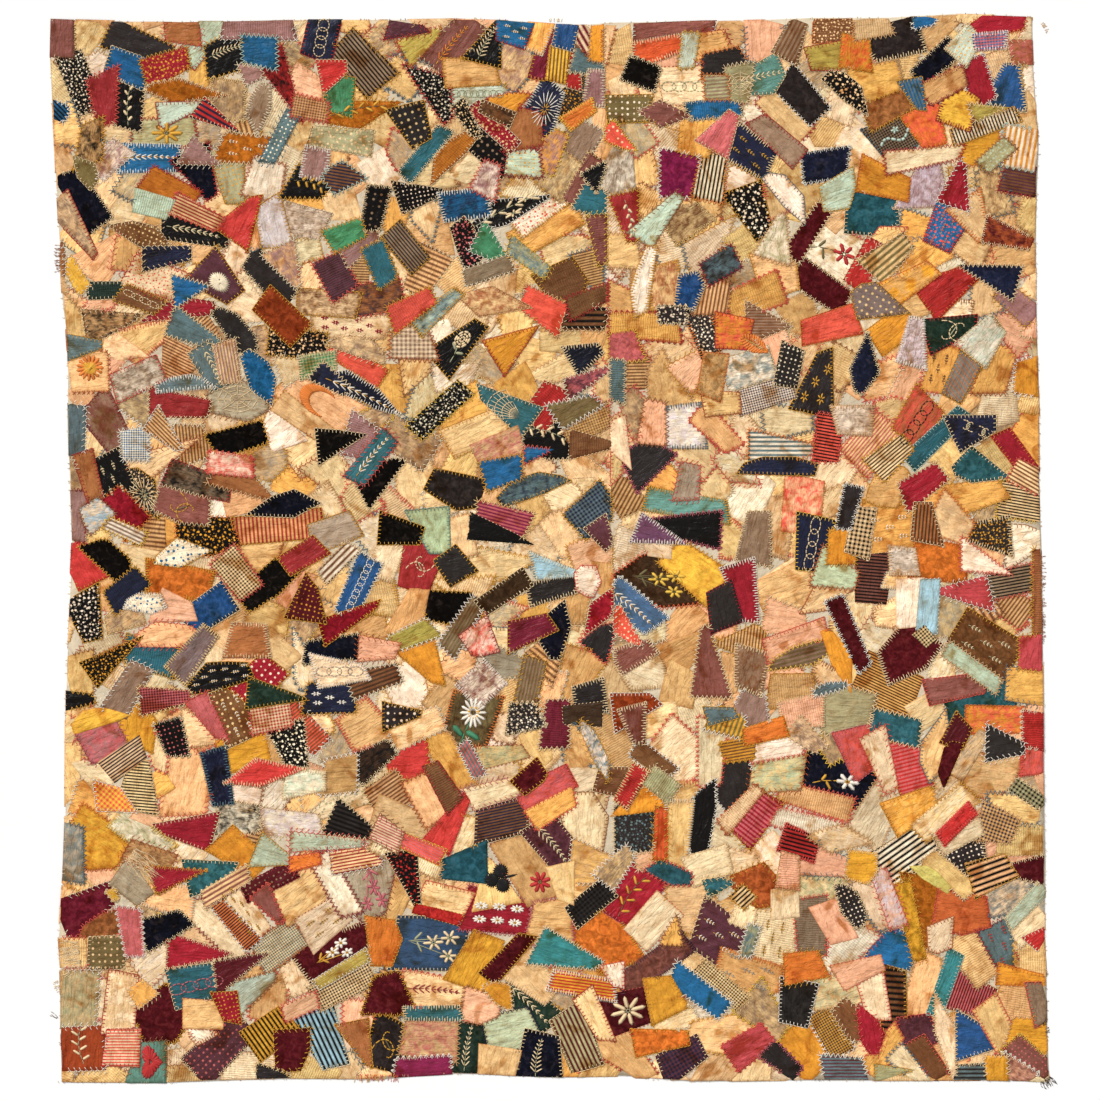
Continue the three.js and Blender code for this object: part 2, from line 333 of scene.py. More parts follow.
# The patches are scraps of dress silk, ribbon, velvet and cotton print. Each
# has its raw edges turned under and lies over the edges of those below it.
# The chart gives each scrap as a dressmaker would note it: how far it is from
# the left edge and from the top edge, its length and width, its turn in
# degrees, its cut, its dyes and weave, the thread and stitch over its seam,
# and its motif. Box cuts, plain silk and blanket stitch go without saying, and
# so does the stitch of a seam left to chance.
CHART = """
17 31 60 45 90 rosewood brown.zigzag
138 46 110 44 -22 wedge coal gold.herring
197 23 50 34 0 sienna
230 41 75 35 52 aqua red
310 20 105 22 0 mauve.rib
262 56 60 52 20 pent black gold.herring cream.fern
312 56 45 35 0 blue aqua.herring
306 87 36 28 10 tri mauve
406 35 55 50 80 navy red cream.rings
174 79 68 48 15 wedge ruby+gold.sprig gold.zigzag
111 81 60 42 -25 blue cream
44 100 85 34 -65 black+white.sprig cream.feather
84 127 78 42 -80 wedge brick coral.herring
119 136 70 32 85 black cream.zigzag cream.branch
201 117 105 34 -10 kite ochre.velvet cream.crowfoot
191 146 70 26 12 tri aqua red
174 178 88 42 0 pent sage red.zigzag gold.star
149 215 92 32 0 blue white.brush white.fern
247 157 55 32 -30 tri navy+red.stripe cream
293 203 76 42 -10 pent ochre.velvet cream.herring white.sprigs
56 192 64 50 90 wedge black+tan.mottle gold.herring
88 219 60 34 45 mauve+white.mottle
226 211 42 30 -20 tri mauve
230 242 82 42 -60 tri ink.velvet red.zigzag
272 245 85 45 -75 wedge sage+gold.dots gold
320 250 55 40 80 white
387 257 54 46 -20 tri black gold.herring gold.branch
396 224 45 34 80 mauve
434 242 58 46 -10 kite brown+navy.stripe aqua.herring
430 188 95 32 -8 sage+cream.sprig cream
430 121 58 36 90 green gold
463 146 102 42 8 kite ochre.velvet gold.feather gold.branch
429 81 44 40 20 tri red cream
467 73 80 46 -50 taupe+black.stripe gold.feather
346 100 88 34 -65 tri black+red.mottle red.herring
312 140 75 30 75 lens taupe
388 142 54 26 -10 tan+brown.check
346 180 100 15 65 slate+white.dots slate.feather
46 280 94 38 -58 ink.velvet cream.crowfoot
56 242 50 26 -65 lens olive cream
38 318 92 42 -50 tri taupe+cream.mottle red
134 330 86 36 -25 lens brown+cream.dots cream
214 326 94 36 -12 wedge black cream.feather cream.fern
153 287 60 36 -15 wedge aqua.rib
180 260 90 34 -30 ochre red.zigzag
218 299 84 24 -25 sand+brick.stripe
291 303 74 50 60 tri scarlet gold
331 314 66 38 -75 lavender gold
375 307 76 52 -10 wedge taupe+white.mottle
484 289 68 32 80 black+taupe.dots cream.crowfoot
440 331 48 34 25 wedge green gold.herring
463 343 56 32 35 mauve
494 375 58 28 -65 teal gold.crowfoot
172 364 80 32 5 wedge navy cream.feather
253 402 80 66 -45 wedge plum gold ivory.disc
209 410 46 38 0 tri blue cream.herring
199 444 98 26 5 lens ruby cream.feather
157 397 86 40 -20 ivory+coral.sprig red.feather
82 414 52 20 5 forest.rib cream
136 427 56 26 -25 brown gold.zigzag cream.rings
86 460 76 50 10 tri black+tan.mottle cream.feather
38 390 46 18 -55 yellow
329 395 86 34 -50 coal cream.crowfoot
360 379 58 42 -60 tri mauve+tan.mottle
425 391 64 40 -65 plum.rib
279 479 100 36 -52 lens coal cream.crowfoot
348 450 78 42 -40 russet.velvet gold
364 494 84 38 -8 black+cream.sprig gold.herring
417 433 98 30 0 brown+cream.mottle gold
490 425 72 40 5 sienna+navy.mottle
452 465 110 34 -5 ivory tan ruby.stars
459 521 96 28 -30 coral gold
463 502 80 24 -20 lens taupe+cream.mottle
400 521 50 30 10 green+sage.check
417 555 60 34 -30 wedge navy cream.herring
314 544 85 34 -65 lens blue.velvet cream
222 483 84 40 -25 wedge slate cream.herring
242 528 70 30 -65 slate cream.feather cream.fern
262 525 52 44 -80 mauve+sand.stripe
59 530 64 60 0 peach - orange.sun
50 496 44 30 0 tri slate gold
130 544 80 34 20 taupe+white.mottle
12 144 44 18 -45 lens blue+black.stripe
537 23 62 32 0 tri plum red.feather
560 43 60 36 35 tri moss
602 46 86 48 50 rosewood - orange.fern
655 43 66 56 60 tri black gold cream.fern
696 27 44 38 -10 blue red white.sprigs
632 85 76 36 0 camel gold
730 33 42 30 80 honey
743 58 78 28 70 burgundy gold
760 69 52 26 85 yellow+brown.stripe
772 35 48 28 80 royal cream
799 39 56 36 -60 wedge ivory+burgundy.stripe
780 85 78 36 -80 tri red cream
822 43 58 22 85 amber
803 73 52 36 -20 wedge slate cream.crowfoot
787 123 68 40 35 coal+gold.sprig cream
818 112 48 26 85 mauve
741 142 80 50 65 wedge navy white.brush white.burst
690 131 54 32 30 tri amber red.zigzag
793 150 48 16 30 orange
575 119 94 40 -55 lens black+white.sprig red.herring
640 119 80 32 0 aqua gold.herring sage.rings
694 77 60 50 60 pent sand+mauve.mottle
542 169 62 42 -70 wedge coal+sand.dots gold
560 207 94 22 50 teal cream.crowfoot
598 211 96 32 50 lens ochre.rib cream
625 161 64 28 -60 tri black+cream.sprig
663 169 90 22 -42 ruby+cream.sprig
670 146 54 24 -25 brown+black.mottle cream
709 173 54 44 90 sienna red.feather
751 200 60 40 60 wedge mauve+gold.mottle
789 192 56 40 60 taupe
661 203 62 42 -40 black+taupe.dots cream
705 221 50 36 -5 aqua+gold.dots ruby.herring
657 242 54 42 70 wedge mauve+white.mottle
552 269 64 42 10 tri black+white.dots cream
623 284 64 34 12 blue+navy.mottle
686 295 124 38 25 kite black - cream.spray
732 295 86 34 32 wedge white+coral.sprig
743 326 110 34 28 honey gold
766 238 62 50 55 sand+taupe.mottle
795 245 74 26 60 rosewood
810 282 44 40 -20 teal cream.herring
822 238 36 30 40 tri black cream.crowfoot
854 230 76 50 80 wedge white+taupe.mottle
866 307 68 28 -80 wedge brick - cream.branch
948 242 60 56 80 magenta.velvet white.herring
990 246 64 36 80 ivory+black.stripe orange.zigzag
916 303 90 30 50 wedge aqua
950 307 62 54 30 wedge brown+sand.mottle
1008 173 54 38 60 tri rose cream
966 180 58 46 85 honey gold.feather
996 142 80 20 8 blue.rib cream.crowfoot
864 142 60 32 0 olive+white.dots gold
923 146 66 34 -5 kite rosewood cream.feather
850 186 50 34 -40 tri coral+ivory.dots
885 89 50 46 -20 black.velvet cream.crowfoot
950 108 66 44 0 ivory red.dotted sage.rings
1010 73 62 34 0 pent coal orange.herring
914 54 76 38 12 wedge vermilion cream.brush
958 52 58 19 80 aqua gold.crowfoot
935 24 116 30 5 wedge rosewood
989 46 54 44 10 camel red.feather
1000 110 38 30 5 taupe+sage.stripe orange.zigzag
1034 104 50 46 0 pent sage cream.herring cream.web
627 345 72 40 -75 lens black+rose.sprig cream
663 353 62 36 -40 tri green
717 368 70 20 -35 slate+sage.mottle
533 349 72 42 -50 taupe+coal.stripe gold
542 441 70 30 30 wedge coral.rib
583 441 86 22 38 wedge slate+aqua.mottle
655 387 74 18 20 taupe
770 399 68 44 25 pent brown.rib gold
809 429 70 30 25 wedge brown.rib red.zigzag
740 441 62 36 -30 coral
663 433 86 50 -15 kite sand+russet.mottle tan
826 338 70 28 -80 rosewood.rib
613 495 88 48 45 wedge black gold cream.rose
694 495 74 40 35 tri amber red
540 495 64 50 0 ivory+taupe.check
803 514 56 50 30 tri ink cream.brush
809 548 70 28 25 tri plum+rose.mottle
805 451 64 28 0 brown+black.stripe cream.feather
918 410 70 48 85 pent sand+russet.mottle gold.brush
956 414 52 42 70 pent royal.velvet cream.brush
889 399 110 28 80 lens white gold.brush
931 445 50 26 0 coal+white.sprig
1006 376 50 38 30 coal+slate.mottle ruby.herring
996 426 46 42 80 tan+brown.stripe
981 472 76 34 -70 coal+white.sprig orange.brush
858 498 44 38 10 rose.velvet
849 548 60 17 88 slate.rib cream.crowfoot
885 464 108 36 -3 honey.rib red.crowfoot
996 540 60 32 80 tan.velvet orange
14 366 46 14 88 lens sienna.rib
1069 41 60 50 90 blush
1111 37 58 40 62 wedge taupe+brown.stripe cream
1169 25 50 36 0 brown+cream.sprig orange
1159 66 44 40 0 moss red
1205 60 48 46 80 vermilion+gold.mottle gold
1234 20 60 26 5 sand.rib
1265 43 76 50 15 coal.velvet cream.brush
1310 12 32 16 0 tri blue
1328 73 76 28 38 ink.velvet cream.crowfoot
1372 46 44 32 60 aqua+gold.dots cream.brush
1416 16 82 30 5 lens ruby orange.zigzag
1406 41 50 24 5 rose+blue.check
1391 100 66 28 -70 ruby
1435 108 68 50 75 wedge royal cream.brush
1460 60 40 34 0 sienna+rose.mottle
1364 138 58 50 -20 yellow ruby.brush
1399 146 38 22 10 tri moss
1345 104 70 26 30 camel ruby.crowfoot
1299 119 48 30 -70 tri blue+slate.stripe gold
1257 142 68 36 30 sienna.velvet
1238 100 84 56 10 pent honey
1194 112 80 26 -42 lens black+cream.sprig cream
1318 169 60 50 -60 wedge coral+orange.mottle gold
1399 165 100 20 20 black+ivory.bars gold
1267 186 60 50 30 black+taupe.check slate aqua.ribbon
1393 196 54 48 0 gold orange.zigzag
1425 203 72 20 40 sage+aqua.sprig
1458 203 50 46 80 amber+white.stripe aqua.crowfoot
1458 246 50 38 -10 plum+brown.stripe red.zigzag
1155 228 74 38 5 navy.velvet white.crowfoot
1129 121 78 34 -45 coal.velvet white.cross
1062 96 84 48 15 pent verdigris cream cream.fern
1096 150 86 30 -45 sand red.cross
1088 186 80 30 -42 taupe red
1048 207 72 46 -40 navy cream.brush gold.sprigs
1102 269 80 30 -50 lens white slate
1127 253 76 30 -55 camel+sand.mottle
1052 295 74 48 -65 wedge black+white.sprig gold
1088 330 68 44 80 tri sage+white.mottle
1228 297 72 64 0 pent teal.velvet cream
1182 267 54 48 20 pent aqua gold
1253 253 82 44 -25 wedge amber orange
1316 253 72 60 80 wedge lavender+mauve.mottle cream
1360 253 72 42 70 tri ruby white.feather
1310 215 105 30 10 wedge ivory red.zigzag
1410 261 76 38 -75 sand+brown.mottle slate.feather
1339 322 72 44 65 blue+coral.sprig red.brush coral.sprigs
1387 314 70 50 -60 wedge sand orange.brush
1437 330 76 42 -20 tri maroon+rust.mottle cream.crowfoot
1138 326 88 20 55 maroon.velvet cream.herring
1175 355 82 70 -35 white - red.flower
1219 376 72 28 65 red cream.feather
1259 360 72 40 40 wedge olive+sand.stripe cream.feather
1303 360 80 48 35 honey
1288 403 86 42 30 wedge gold+cream.damask orange
1347 406 76 48 35 wedge red orange
1412 393 72 46 170 tri navy.velvet cream.herring
1447 429 68 28 -40 mauve gold.feather
1155 405 90 50 -35 maroon.velvet cream.crowfoot
1238 431 82 50 -30 kite dusk+sand.dots gold
1169 466 88 38 15 coral orange
1263 468 66 38 35 amber gold
1293 491 76 38 75 wedge lavender+taupe.mottle white.brush
1353 475 76 52 20 wedge forest.velvet red cream.scroll
1399 487 56 40 50 aqua+white.mottle cream
1468 544 50 34 90 amber
1332 531 58 46 80 honey - brown.sprigs
1219 525 90 38 80 kite navy.velvet cream.crowfoot
1148 552 86 58 75 tri coal gold gold.stars
1023 479 52 52 0 coral+gold.mottle red
1048 533 62 46 10 white+slate.mottle cream
1075 464 52 44 0 tri brown+taupe.stripe
1054 422 76 40 20 honey.rib
1092 391 64 52 0 pent peach+tan.damask gold
1106 529 64 32 75 coal+white.dots cream
1364 548 64 34 65 sienna+slate.stripe gold
1058 496 54 50 150 none orange.velvet - orange.leaf
280 577 82 54 0 pent stone sienna.feather cream.web
195 583 92 38 -8 wedge brick cream.cross
199 554 80 16 3 lens slate
81 617 86 54 -55 wedge rosewood+taupe.mottle ruby
38 621 66 28 90 slate
128 642 42 36 0 blue+white.check
174 629 56 42 -45 tri brown+tan.stripe
283 637 88 44 15 wedge black.velvet gold.zigzag
272 675 60 24 -5 coral+white.mottle
291 702 86 46 -25 tri sienna tan.herring
402 579 120 56 -35 peach gold orange.moon
383 606 94 32 -35 sand gold.dotted
460 568 120 36 -25 lens ink white.brush white.fern
431 637 62 46 20 tri black.velvet cream
467 633 52 38 70 mauve.rib
494 690 72 50 40 tri black.velvet cream.zigzag
483 663 88 36 50 petrol - white.fern
58 690 76 24 -75 sienna red
92 696 62 42 -70 black cream cream.sprigs
140 720 86 50 -60 kite coal+cream.sprig gold cream.burst
226 702 100 38 -15 wedge black+taupe.mottle red
111 748 62 42 -50 ruby.velvet orange.cross
197 740 70 52 -20 pent rosewood - gold.scroll
73 748 56 46 0 kite sky+cream.mottle
38 751 72 20 85 mauve ruby.zigzag
111 774 56 18 -25 taupe+white.stripe
234 778 86 48 0 pent black+gold.sprig orange.cross
197 809 76 40 10 kite white+blue.sprig gold
92 820 102 42 -45 lens black.velvet gold.zigzag
48 820 62 36 -60 scarlet gold
117 861 60 30 35 navy.rib gold.zigzag
194 849 98 44 -15 orange.velvet gold.brush
354 736 98 30 5 lens ink.velvet cream
345 770 136 32 5 camel+brick.bars gold
425 774 68 48 10 pent stone gold
379 813 62 34 30 brick gold
324 855 82 44 35 pent black.velvet gold.zigzag
280 836 70 40 -50 cream+coal.check
387 882 56 44 75 wedge maroon+gold.dots gold
429 820 62 20 45 brown+white.stripe
464 855 88 32 65 royal - white.rings
236 893 72 36 35 royal.velvet cream
192 893 66 36 -10 wedge blush
146 882 70 28 0 lens white+blue.sprig white.brush
448 908 88 36 30 tri ruby.velvet gold
56 901 62 56 -80 wedge black+white.sprig gold
180 930 102 34 5 lens peach
153 962 76 38 -10 teal.rib gold.brush
92 966 72 38 30 tri black+gold.sprig gold
215 954 88 32 50 wedge dusk
295 941 50 44 0 sienna cream.brush
253 991 102 38 10 lens black gold white.sprigs
310 997 74 44 50 ruby+white.dots gold
330 1020 74 46 0 tri forest.velvet gold
425 954 88 30 5 ink.velvet cream.crowfoot
433 985 68 42 0 wedge ivory white.brush stone.rings
418 1025 68 32 0 navy gold.zigzag white.stars
490 954 56 36 -10 wedge blush
487 997 80 42 20 wedge brown+umber.stripe
172 1027 80 30 5 tri maroon+rose.check
119 1008 82 32 55 taupe
40 1027 38 22 0 tri black
278 1050 78 52 -65 brown+cream.dots cream white.sprigs
69 1058 78 26 20 lens yellow
132 1065 56 46 80 pent gold gold
238 1054 62 30 -60 tri rose coral.feather
326 1050 52 42 10 ivory+red.check
379 1065 76 28 -50 coral+brown.bars
583 594 102 24 45 black+white.sprig
617 594 76 50 30 honey
640 625 96 34 25 sand gold
671 652 70 40 25 sand+rose.mottle
682 591 102 56 150 tri petrol cream cream.fan
738 591 74 38 50 red.rib
742 631 76 52 -20 pent black cream.zigzag cream.branch
786 594 68 34 25 wedge olive
805 617 70 36 20 camel+brown.check
809 646 56 42 0 tri brown.rib cream.dotted
853 644 62 52 -70 tri ivory red.dotted
906 614 68 44 85 blush
943 617 62 52 0 lavender+white.mottle
676 683 54 32 15 blue
726 656 32 20 15 tri blue
609 709 80 46 -15 pent coal.velvet gold
722 709 106 32 15 lens slate+navy.mottle gold
891 669 66 58 35 pent coal rose.crowfoot
956 702 62 26 80 stone coral.feather
952 736 120 28 -5 verdigris gold.brush
943 769 112 40 175 tri black rose.crowfoot
908 786 58 38 -20 tri purple white.brush
812 744 62 42 35 navy+slate.check gold.zigzag
824 778 54 48 -60 tri plum cream
680 755 72 36 -15 magenta+rose.stripe
669 778 78 32 -15 tri black cream.dotted
525 778 66 50 -10 wedge black.velvet gold
577 778 62 54 -75 wedge mint verdigris
611 826 66 52 0 kite coal gold
554 828 60 50 75 brick gold.dotted cream.scroll
759 832 66 30 -5 tri sky
755 863 68 40 10 wedge coal cream.brush
964 836 86 44 -35 yellow gold.herring
870 889 90 46 -40 denim white.crowfoot white.fern
828 889 76 42 60 kite ruby.velvet cream
914 849 152 68 -12 lens umber.velvet vermilion.herring yellow.posy
803 849 36 36 0 round white coral
832 931 54 40 60 tri coal coral.zigzag
860 920 56 32 -50 tri coral+ivory.dots
724 920 72 48 20 wedge burgundy gold
755 924 72 36 75 lens ink.velvet cream
602 889 82 48 5 pent black.velvet gold.zigzag
680 864 82 22 32 umber.velvet cream
621 912 90 34 60 wedge olive+taupe.stripe
648 931 62 44 70 kite coral+white.mottle brick
540 897 82 48 70 wedge camel
540 931 68 28 25 moss
560 974 68 56 -60 tri amber gold
682 974 66 44 -10 wedge stone cream.herring
644 1000 62 46 40 rosewood+white.mottle
717 1000 68 28 78 olive+taupe.stripe
874 962 52 34 30 wedge rosewood cream.brush
985 974 98 48 100 tri rosewood cream.herring
1012 886 66 44 -75 coal ruby
1038 870 76 50 -70 wedge ruby white.brush
809 1023 42 38 5 coal cream.brush
874 1039 62 46 20 wedge russet.velvet white
1000 1054 52 32 10 wedge slate gold
629 1058 80 68 85 umber+olive.mottle orange.brush white.daisy
529 1054 62 38 0 tri coal+white.dots gold
709 1054 52 48 0 pent coal+white.sprig
755 1065 68 34 85 burgundy.rib
793 1050 58 24 0 umber cream.dotted
1008 583 54 30 0 straw
1073 568 76 34 15 white+navy.check cream.dotted
996 625 78 42 -50 wedge tan
1092 679 132 28 -3 lens navy gold
1100 650 102 46 0 tri white+slate.stripe orange.zigzag
1169 633 68 34 80 coral+black.bars
1199 606 52 46 0 white+taupe.mottle
1228 637 78 50 50 straw+rose.stripe
1261 660 76 46 40 wedge umber+cream.stripe
1299 612 74 48 55 coral+sienna.mottle - black.rings
1326 633 110 24 42 teal aqua
1387 621 70 58 15 wedge navy cream cream.hooks
1389 683 92 48 -5 kite petrol.velvet cream
1452 663 84 24 -50 ruby orange
1468 694 52 32 -30 brown+cream.stripe
1452 729 68 42 -10 cream+black.stripe yellow.zigzag
1310 709 62 46 30 wedge ruby cream.herring
1257 711 58 58 0 round camel gold
1383 725 100 44 10 wedge honey gold.feather
1310 761 56 44 85 wedge umber+sienna.stripe cream
1353 763 62 52 -30 wedge sand+cream.damask orange.zigzag
1406 776 54 52 180 tri coal+gold.sprig cream.brush
1062 786 72 52 80 wedge taupe cream.crowfoot
1132 738 82 58 88 coral+cream.mottle gold.dotted
1196 740 68 20 75 coal
1257 771 72 68 5 honey gold white.sprigs
1217 778 68 34 80 cream+black.check cream
1142 794 80 44 80 navy yellow cream.rings
1188 799 50 36 90 amber gold.herring
1182 839 56 46 -20 wedge mint
1234 843 70 48 85 rosewood+black.bars cream.dotted
1282 824 52 46 0 stone+white.mottle
1335 820 78 58 -10 wedge orange.velvet orange
1314 885 76 30 85 sky white.dotted
1288 885 72 32 85 white
1370 870 68 54 180 tri cerise white.feather
1437 855 70 38 10 taupe+black.stripe coral.zigzag
1482 866 126 19 90 sienna.rib
1402 820 68 46 -20 tri white coral.zigzag
1402 945 88 64 -30 brown.velvet gold cream.sprigs
1471 958 56 36 90 cerise gold.herring
1199 935 118 23 -65 maroon.velvet white.crowfoot
1182 962 90 24 -70 lens amber
1280 958 94 68 35 pent maroon.velvet cream.brush
1280 956 88 30 40 cream+black.check black.dotted
1253 1012 88 58 -25 honey+umber.stripe
1115 939 98 24 20 blush coral
1131 959 94 36 15 lens olive+taupe.stripe
1052 981 58 42 80 brown+taupe.mottle
1050 1046 66 54 80 wedge taupe+mauve.stripe
1111 1012 66 44 5 tan.rib gold
1127 1046 72 40 10 blush.rib cream.brush
1196 1046 72 68 0 round sage cream.herring
1165 1012 62 16 20 lens slate
1387 976 100 22 -35 aqua
1360 1008 92 30 10 rosewood coral
1391 1027 106 36 12 petrol.velvet cream.zigzag
1414 1058 96 34 5 coral+gold.mottle orange
1269 1069 72 32 -10 petrol.velvet cream.herring
1359 1077 48 28 60 maroon gold
1475 1077 52 30 90 red.rib
1464 1004 58 44 0 honey
1073 1077 68 24 10 orange gold
1131 1081 56 40 -40 wedge taupe+cream.mottle
82 1089 62 56 20 rose+mauve.mottle rose.feather
182 1091 64 50 -75 wedge black+rose.dots cream.crowfoot
109 1118 66 36 35 cream+navy.stripe
136 1158 72 50 85 wedge black+cream.bars cream
96 1177 62 48 -40 kite coral+yellow.check
203 1154 90 70 80 pent peach coral.feather
253 1142 72 34 -80 wedge navy.velvet slate.brush
289 1110 74 58 10 gold cream.dotted
322 1140 96 42 5 kite scarlet cream.brush
366 1100 70 50 -75 wedge black+white.sprig
379 1154 68 40 0 wedge aqua+white.mottle cream.brush
437 1140 52 46 0 camel
467 1070 66 60 30 tan coral.brush
479 1116 68 52 35 wedge black+umber.mottle cream.crowfoot
448 1177 126 32 20 ivory+sage.sprig
506 1169 58 50 35 brown+tan.stripe
73 1246 88 68 -35 pent amber+yellow.mottle orange.zigzag
30 1257 82 34 85 stone+slate.mottle
134 1234 82 44 -40 sage+white.mottle yellow.brush
199 1227 78 52 175 tri ruby cream
285 1208 78 54 -10 wedge black+white.mottle cream.herring
360 1215 88 52 -5 wedge lavender+white.mottle cream.feather
456 1215 62 44 -20 tri black+coal.stripe cream.herring
414 1242 98 30 0 tri aqua
506 1227 52 34 -25 ivory+rose.stripe
282 1257 74 52 -40 wedge amber gold
337 1261 58 42 -20 tri aqua gold
184 1292 62 44 15 tri ruby gold.crowfoot
238 1288 72 48 10 wedge petrol.velvet cream
146 1265 66 26 -20 camel+brown.mottle
261 1307 76 20 30 rosewood+sand.stripe
326 1299 88 24 28 maroon+taupe.dots ruby
383 1270 48 19 10 orange
456 1265 72 28 10 brick+cream.stripe
58 1338 88 52 30 wedge burgundy.velvet
56 1334 82 16 20 yellow cream.crowfoot
123 1311 62 44 -40 wedge stone cream.dotted
176 1326 74 38 -10 peach
169 1365 72 44 20 wedge ink.velvet cream.crowfoot
73 1368 82 40 30 lens sienna.velvet
123 1376 72 30 -85 rose
82 1410 58 40 0 olive+cream.dots cream
34 1407 52 36 0 straw.rib
218 1403 74 60 0 tri ruby cream.crowfoot
249 1372 106 36 -45 ivory ruby.herring
272 1357 92 20 -50 navy+orange.bars
285 1345 90 36 -55 ivory brick.dotted gold.sprigs
326 1330 62 30 -60 tri rosewood
375 1322 76 60 40 pent straw brick.dotted
410 1361 62 50 35 ivory brick.dotted gold.sprigs
425 1303 100 30 -65 white ruby.herring
483 1311 88 64 -80 wedge stone ruby.feather rose.posy
283 1430 74 44 20 tri maroon cream.crowfoot
345 1391 76 52 35 cream+petrol.check
425 1407 106 50 28 maroon.velvet cream.brush white.posy
502 1395 72 58 85 pent orange gold
433 1433 92 15 30 moss
435 1456 88 38 28 ink+cream.check
510 1464 66 60 0 pent maroon.velvet gold.crowfoot
218 1456 80 48 12 teal cream rose.rings
165 1502 64 62 20 pent maroon.velvet gold.crowfoot
226 1502 66 40 3 straw red.dotted
270 1495 66 34 -75 wedge ruby+gold.dots gold
299 1456 70 50 30 tri aqua
375 1491 58 24 30 blush
330 1525 72 38 35 black+gold.bars gold
364 1552 66 52 80 pent maroon.velvet gold.feather
410 1533 92 50 -65 wedge sky+black.stripe
467 1545 68 40 -70 tri sienna gold
506 1545 78 58 80 wedge coal.velvet gold gold.scroll
253 1552 102 44 42 plum+rose.dots cream.crowfoot
150 1571 68 54 90 wedge verdigris sienna.feather red.heart
107 1552 52 48 90 ivory+coral.bars red
50 1545 66 62 90 russet - cream.branch
107 1483 96 48 88 ivory+gold.damask red
46 1476 82 58 88 sage+sand.mottle
331 1590 38 20 0 tri coal
537 1118 60 52 0 pent scarlet gold.feather
552 1072 86 52 20 wedge cream
596 1118 86 46 -60 honey
628 1120 56 24 -60 slate+rose.stripe
588 1158 68 24 -60 brown.rib red
564 1178 76 34 -60 peach
600 1206 88 34 58 tri scarlet coral
524 1208 88 50 -15 wedge sand
538 1244 104 19 -25 rose+coral.stripe
536 1260 106 22 -25 ivory.rib
666 1166 78 34 15 ivory rose.feather
718 1146 50 42 35 pent maroon.velvet gold
754 1190 76 28 30 honey
744 1164 82 34 25 rose+coral.mottle coral
680 1207 78 54 12 brown+navy.stripe cream
750 1244 82 50 -50 plum.velvet cream cream.fern
802 1212 92 78 90 pent ivory
872 1218 64 62 -85 wedge coal+slate.sprig cream.zigzag
852 1148 62 50 0 pent brown cream
872 1156 60 16 60 red.rib
908 1124 96 24 -38 brown
889 1170 54 66 90 tri amber gold.dotted
922 1151 46 34 -35 sage.rib
939 1230 98 32 88 straw
915 1230 76 18 88 vermilion+rust.stripe gold.feather
1028 1156 82 58 -70 pent coal white.zigzag
977 1206 122 46 82 lens black white.cross
926 1286 74 36 -20 lens petrol.velvet
993 1306 84 30 18 tri petrol.velvet
988 1274 68 34 20 ivory cream
614 1282 84 56 185 tri teal.velvet cream.dotted
672 1296 78 80 100 tri straw red.dotted black.clover
536 1294 88 52 -75 tri black+red.sprig cream
714 1284 104 50 -58 tan red.dotted
734 1301 44 44 20 none tan - red.star
768 1298 60 46 -75 wedge cream+straw.mottle
812 1282 78 60 -15 wedge tan+honey.mottle
849 1278 60 24 50 taupe+sand.mottle
810 1332 72 40 40 black+coal.check cream
898 1352 84 50 45 ivory coral.dotted
874 1324 84 62 52 ruby rose gold.branch
954 1336 88 74 0 pent sand
832 1390 88 58 -55 orange.velvet gold.brush
722 1446 88 52 -45 wedge sand cream.brush
778 1410 96 50 -20 tri lagoon
801 1456 96 28 -8 red+gold.stripe
906 1424 124 34 32 rosewood.velvet plum.brush
1000 1382 74 64 -30 plum cream.feather white.sprigs
866 1494 70 58 15 maroon.velvet coral.dotted cream.star
919 1474 62 50 -70 gold gold
970 1462 90 44 -38 wedge blue white.herring
1002 1451 98 26 -40 black+cream.check
916 1536 78 36 5 wedge orange.velvet gold
948 1564 76 42 30 navy+plum.check cream
822 1508 86 42 -65 wedge cream red
790 1536 94 44 -65 maroon+sage.stripe cream
674 1468 56 32 -40 lens amber cream.cross
716 1484 96 40 -45 forest.velvet cream cream.fern
692 1522 74 56 10 pent mint navy.zigzag
732 1564 66 60 80 wedge ink.velvet cream cream.fern
644 1492 56 48 -20 pent blush
668 1568 50 56 80 sand
658 1559 26 14 0 orange
626 1550 80 42 80 forest.velvet coral cream.fern
572 1536 86 54 -2 sand+rose.mottle
574 1500 86 15 0 petrol cream.brush
558 1576 78 24 0 magenta white.crowfoot
574 1464 92 46 -5 cream coral.crowfoot brick.fern
640 1418 88 52 65 gold
684 1412 86 34 50 wedge maroon.velvet gold
576 1394 98 80 -10 indigo cream cream.posy
672 1349 96 56 -5 ruby rose.zigzag white.daisies
592 1324 74 40 -15 cream coral
582 1349 74 16 -15 red.velvet gold.dotted
752 1366 66 62 0 tan rose.zigzag
870 1562 96 56 -50 wedge tan red.cross
1180 1150 112 54 -18 ink.velvet gold white.flower
1204 1110 72 62 -75 wedge coral+rose.mottle rose
1246 1116 96 32 -70 wedge ivory coral.feather
1287 1126 82 48 -75 red+rose.bars gold
1324 1098 96 46 70 kite straw
1376 1109 84 34 55 wedge sand+stone.mottle
1350 1108 104 24 65 lens maroon.velvet gold.dotted
1476 1096 78 26 88 coral+rose.mottle
1439 1097 62 46 -10 tri coal white.feather
1404 1140 98 66 -10 pent peach+sand.mottle
1086 1095 76 28 10 white
1089 1133 74 52 0 mint+straw.mottle
1298 1186 74 52 30 wedge honey+amber.mottle gold
1236 1198 84 54 60 wedge dove
1146 1179 114 32 -15 tan.rib coral.herring
1134 1213 98 32 -12 white.rib coral.crowfoot
1038 1186 88 14 48 cream.rib
1058 1202 72 34 52 ruby+rose.bars gold.feather
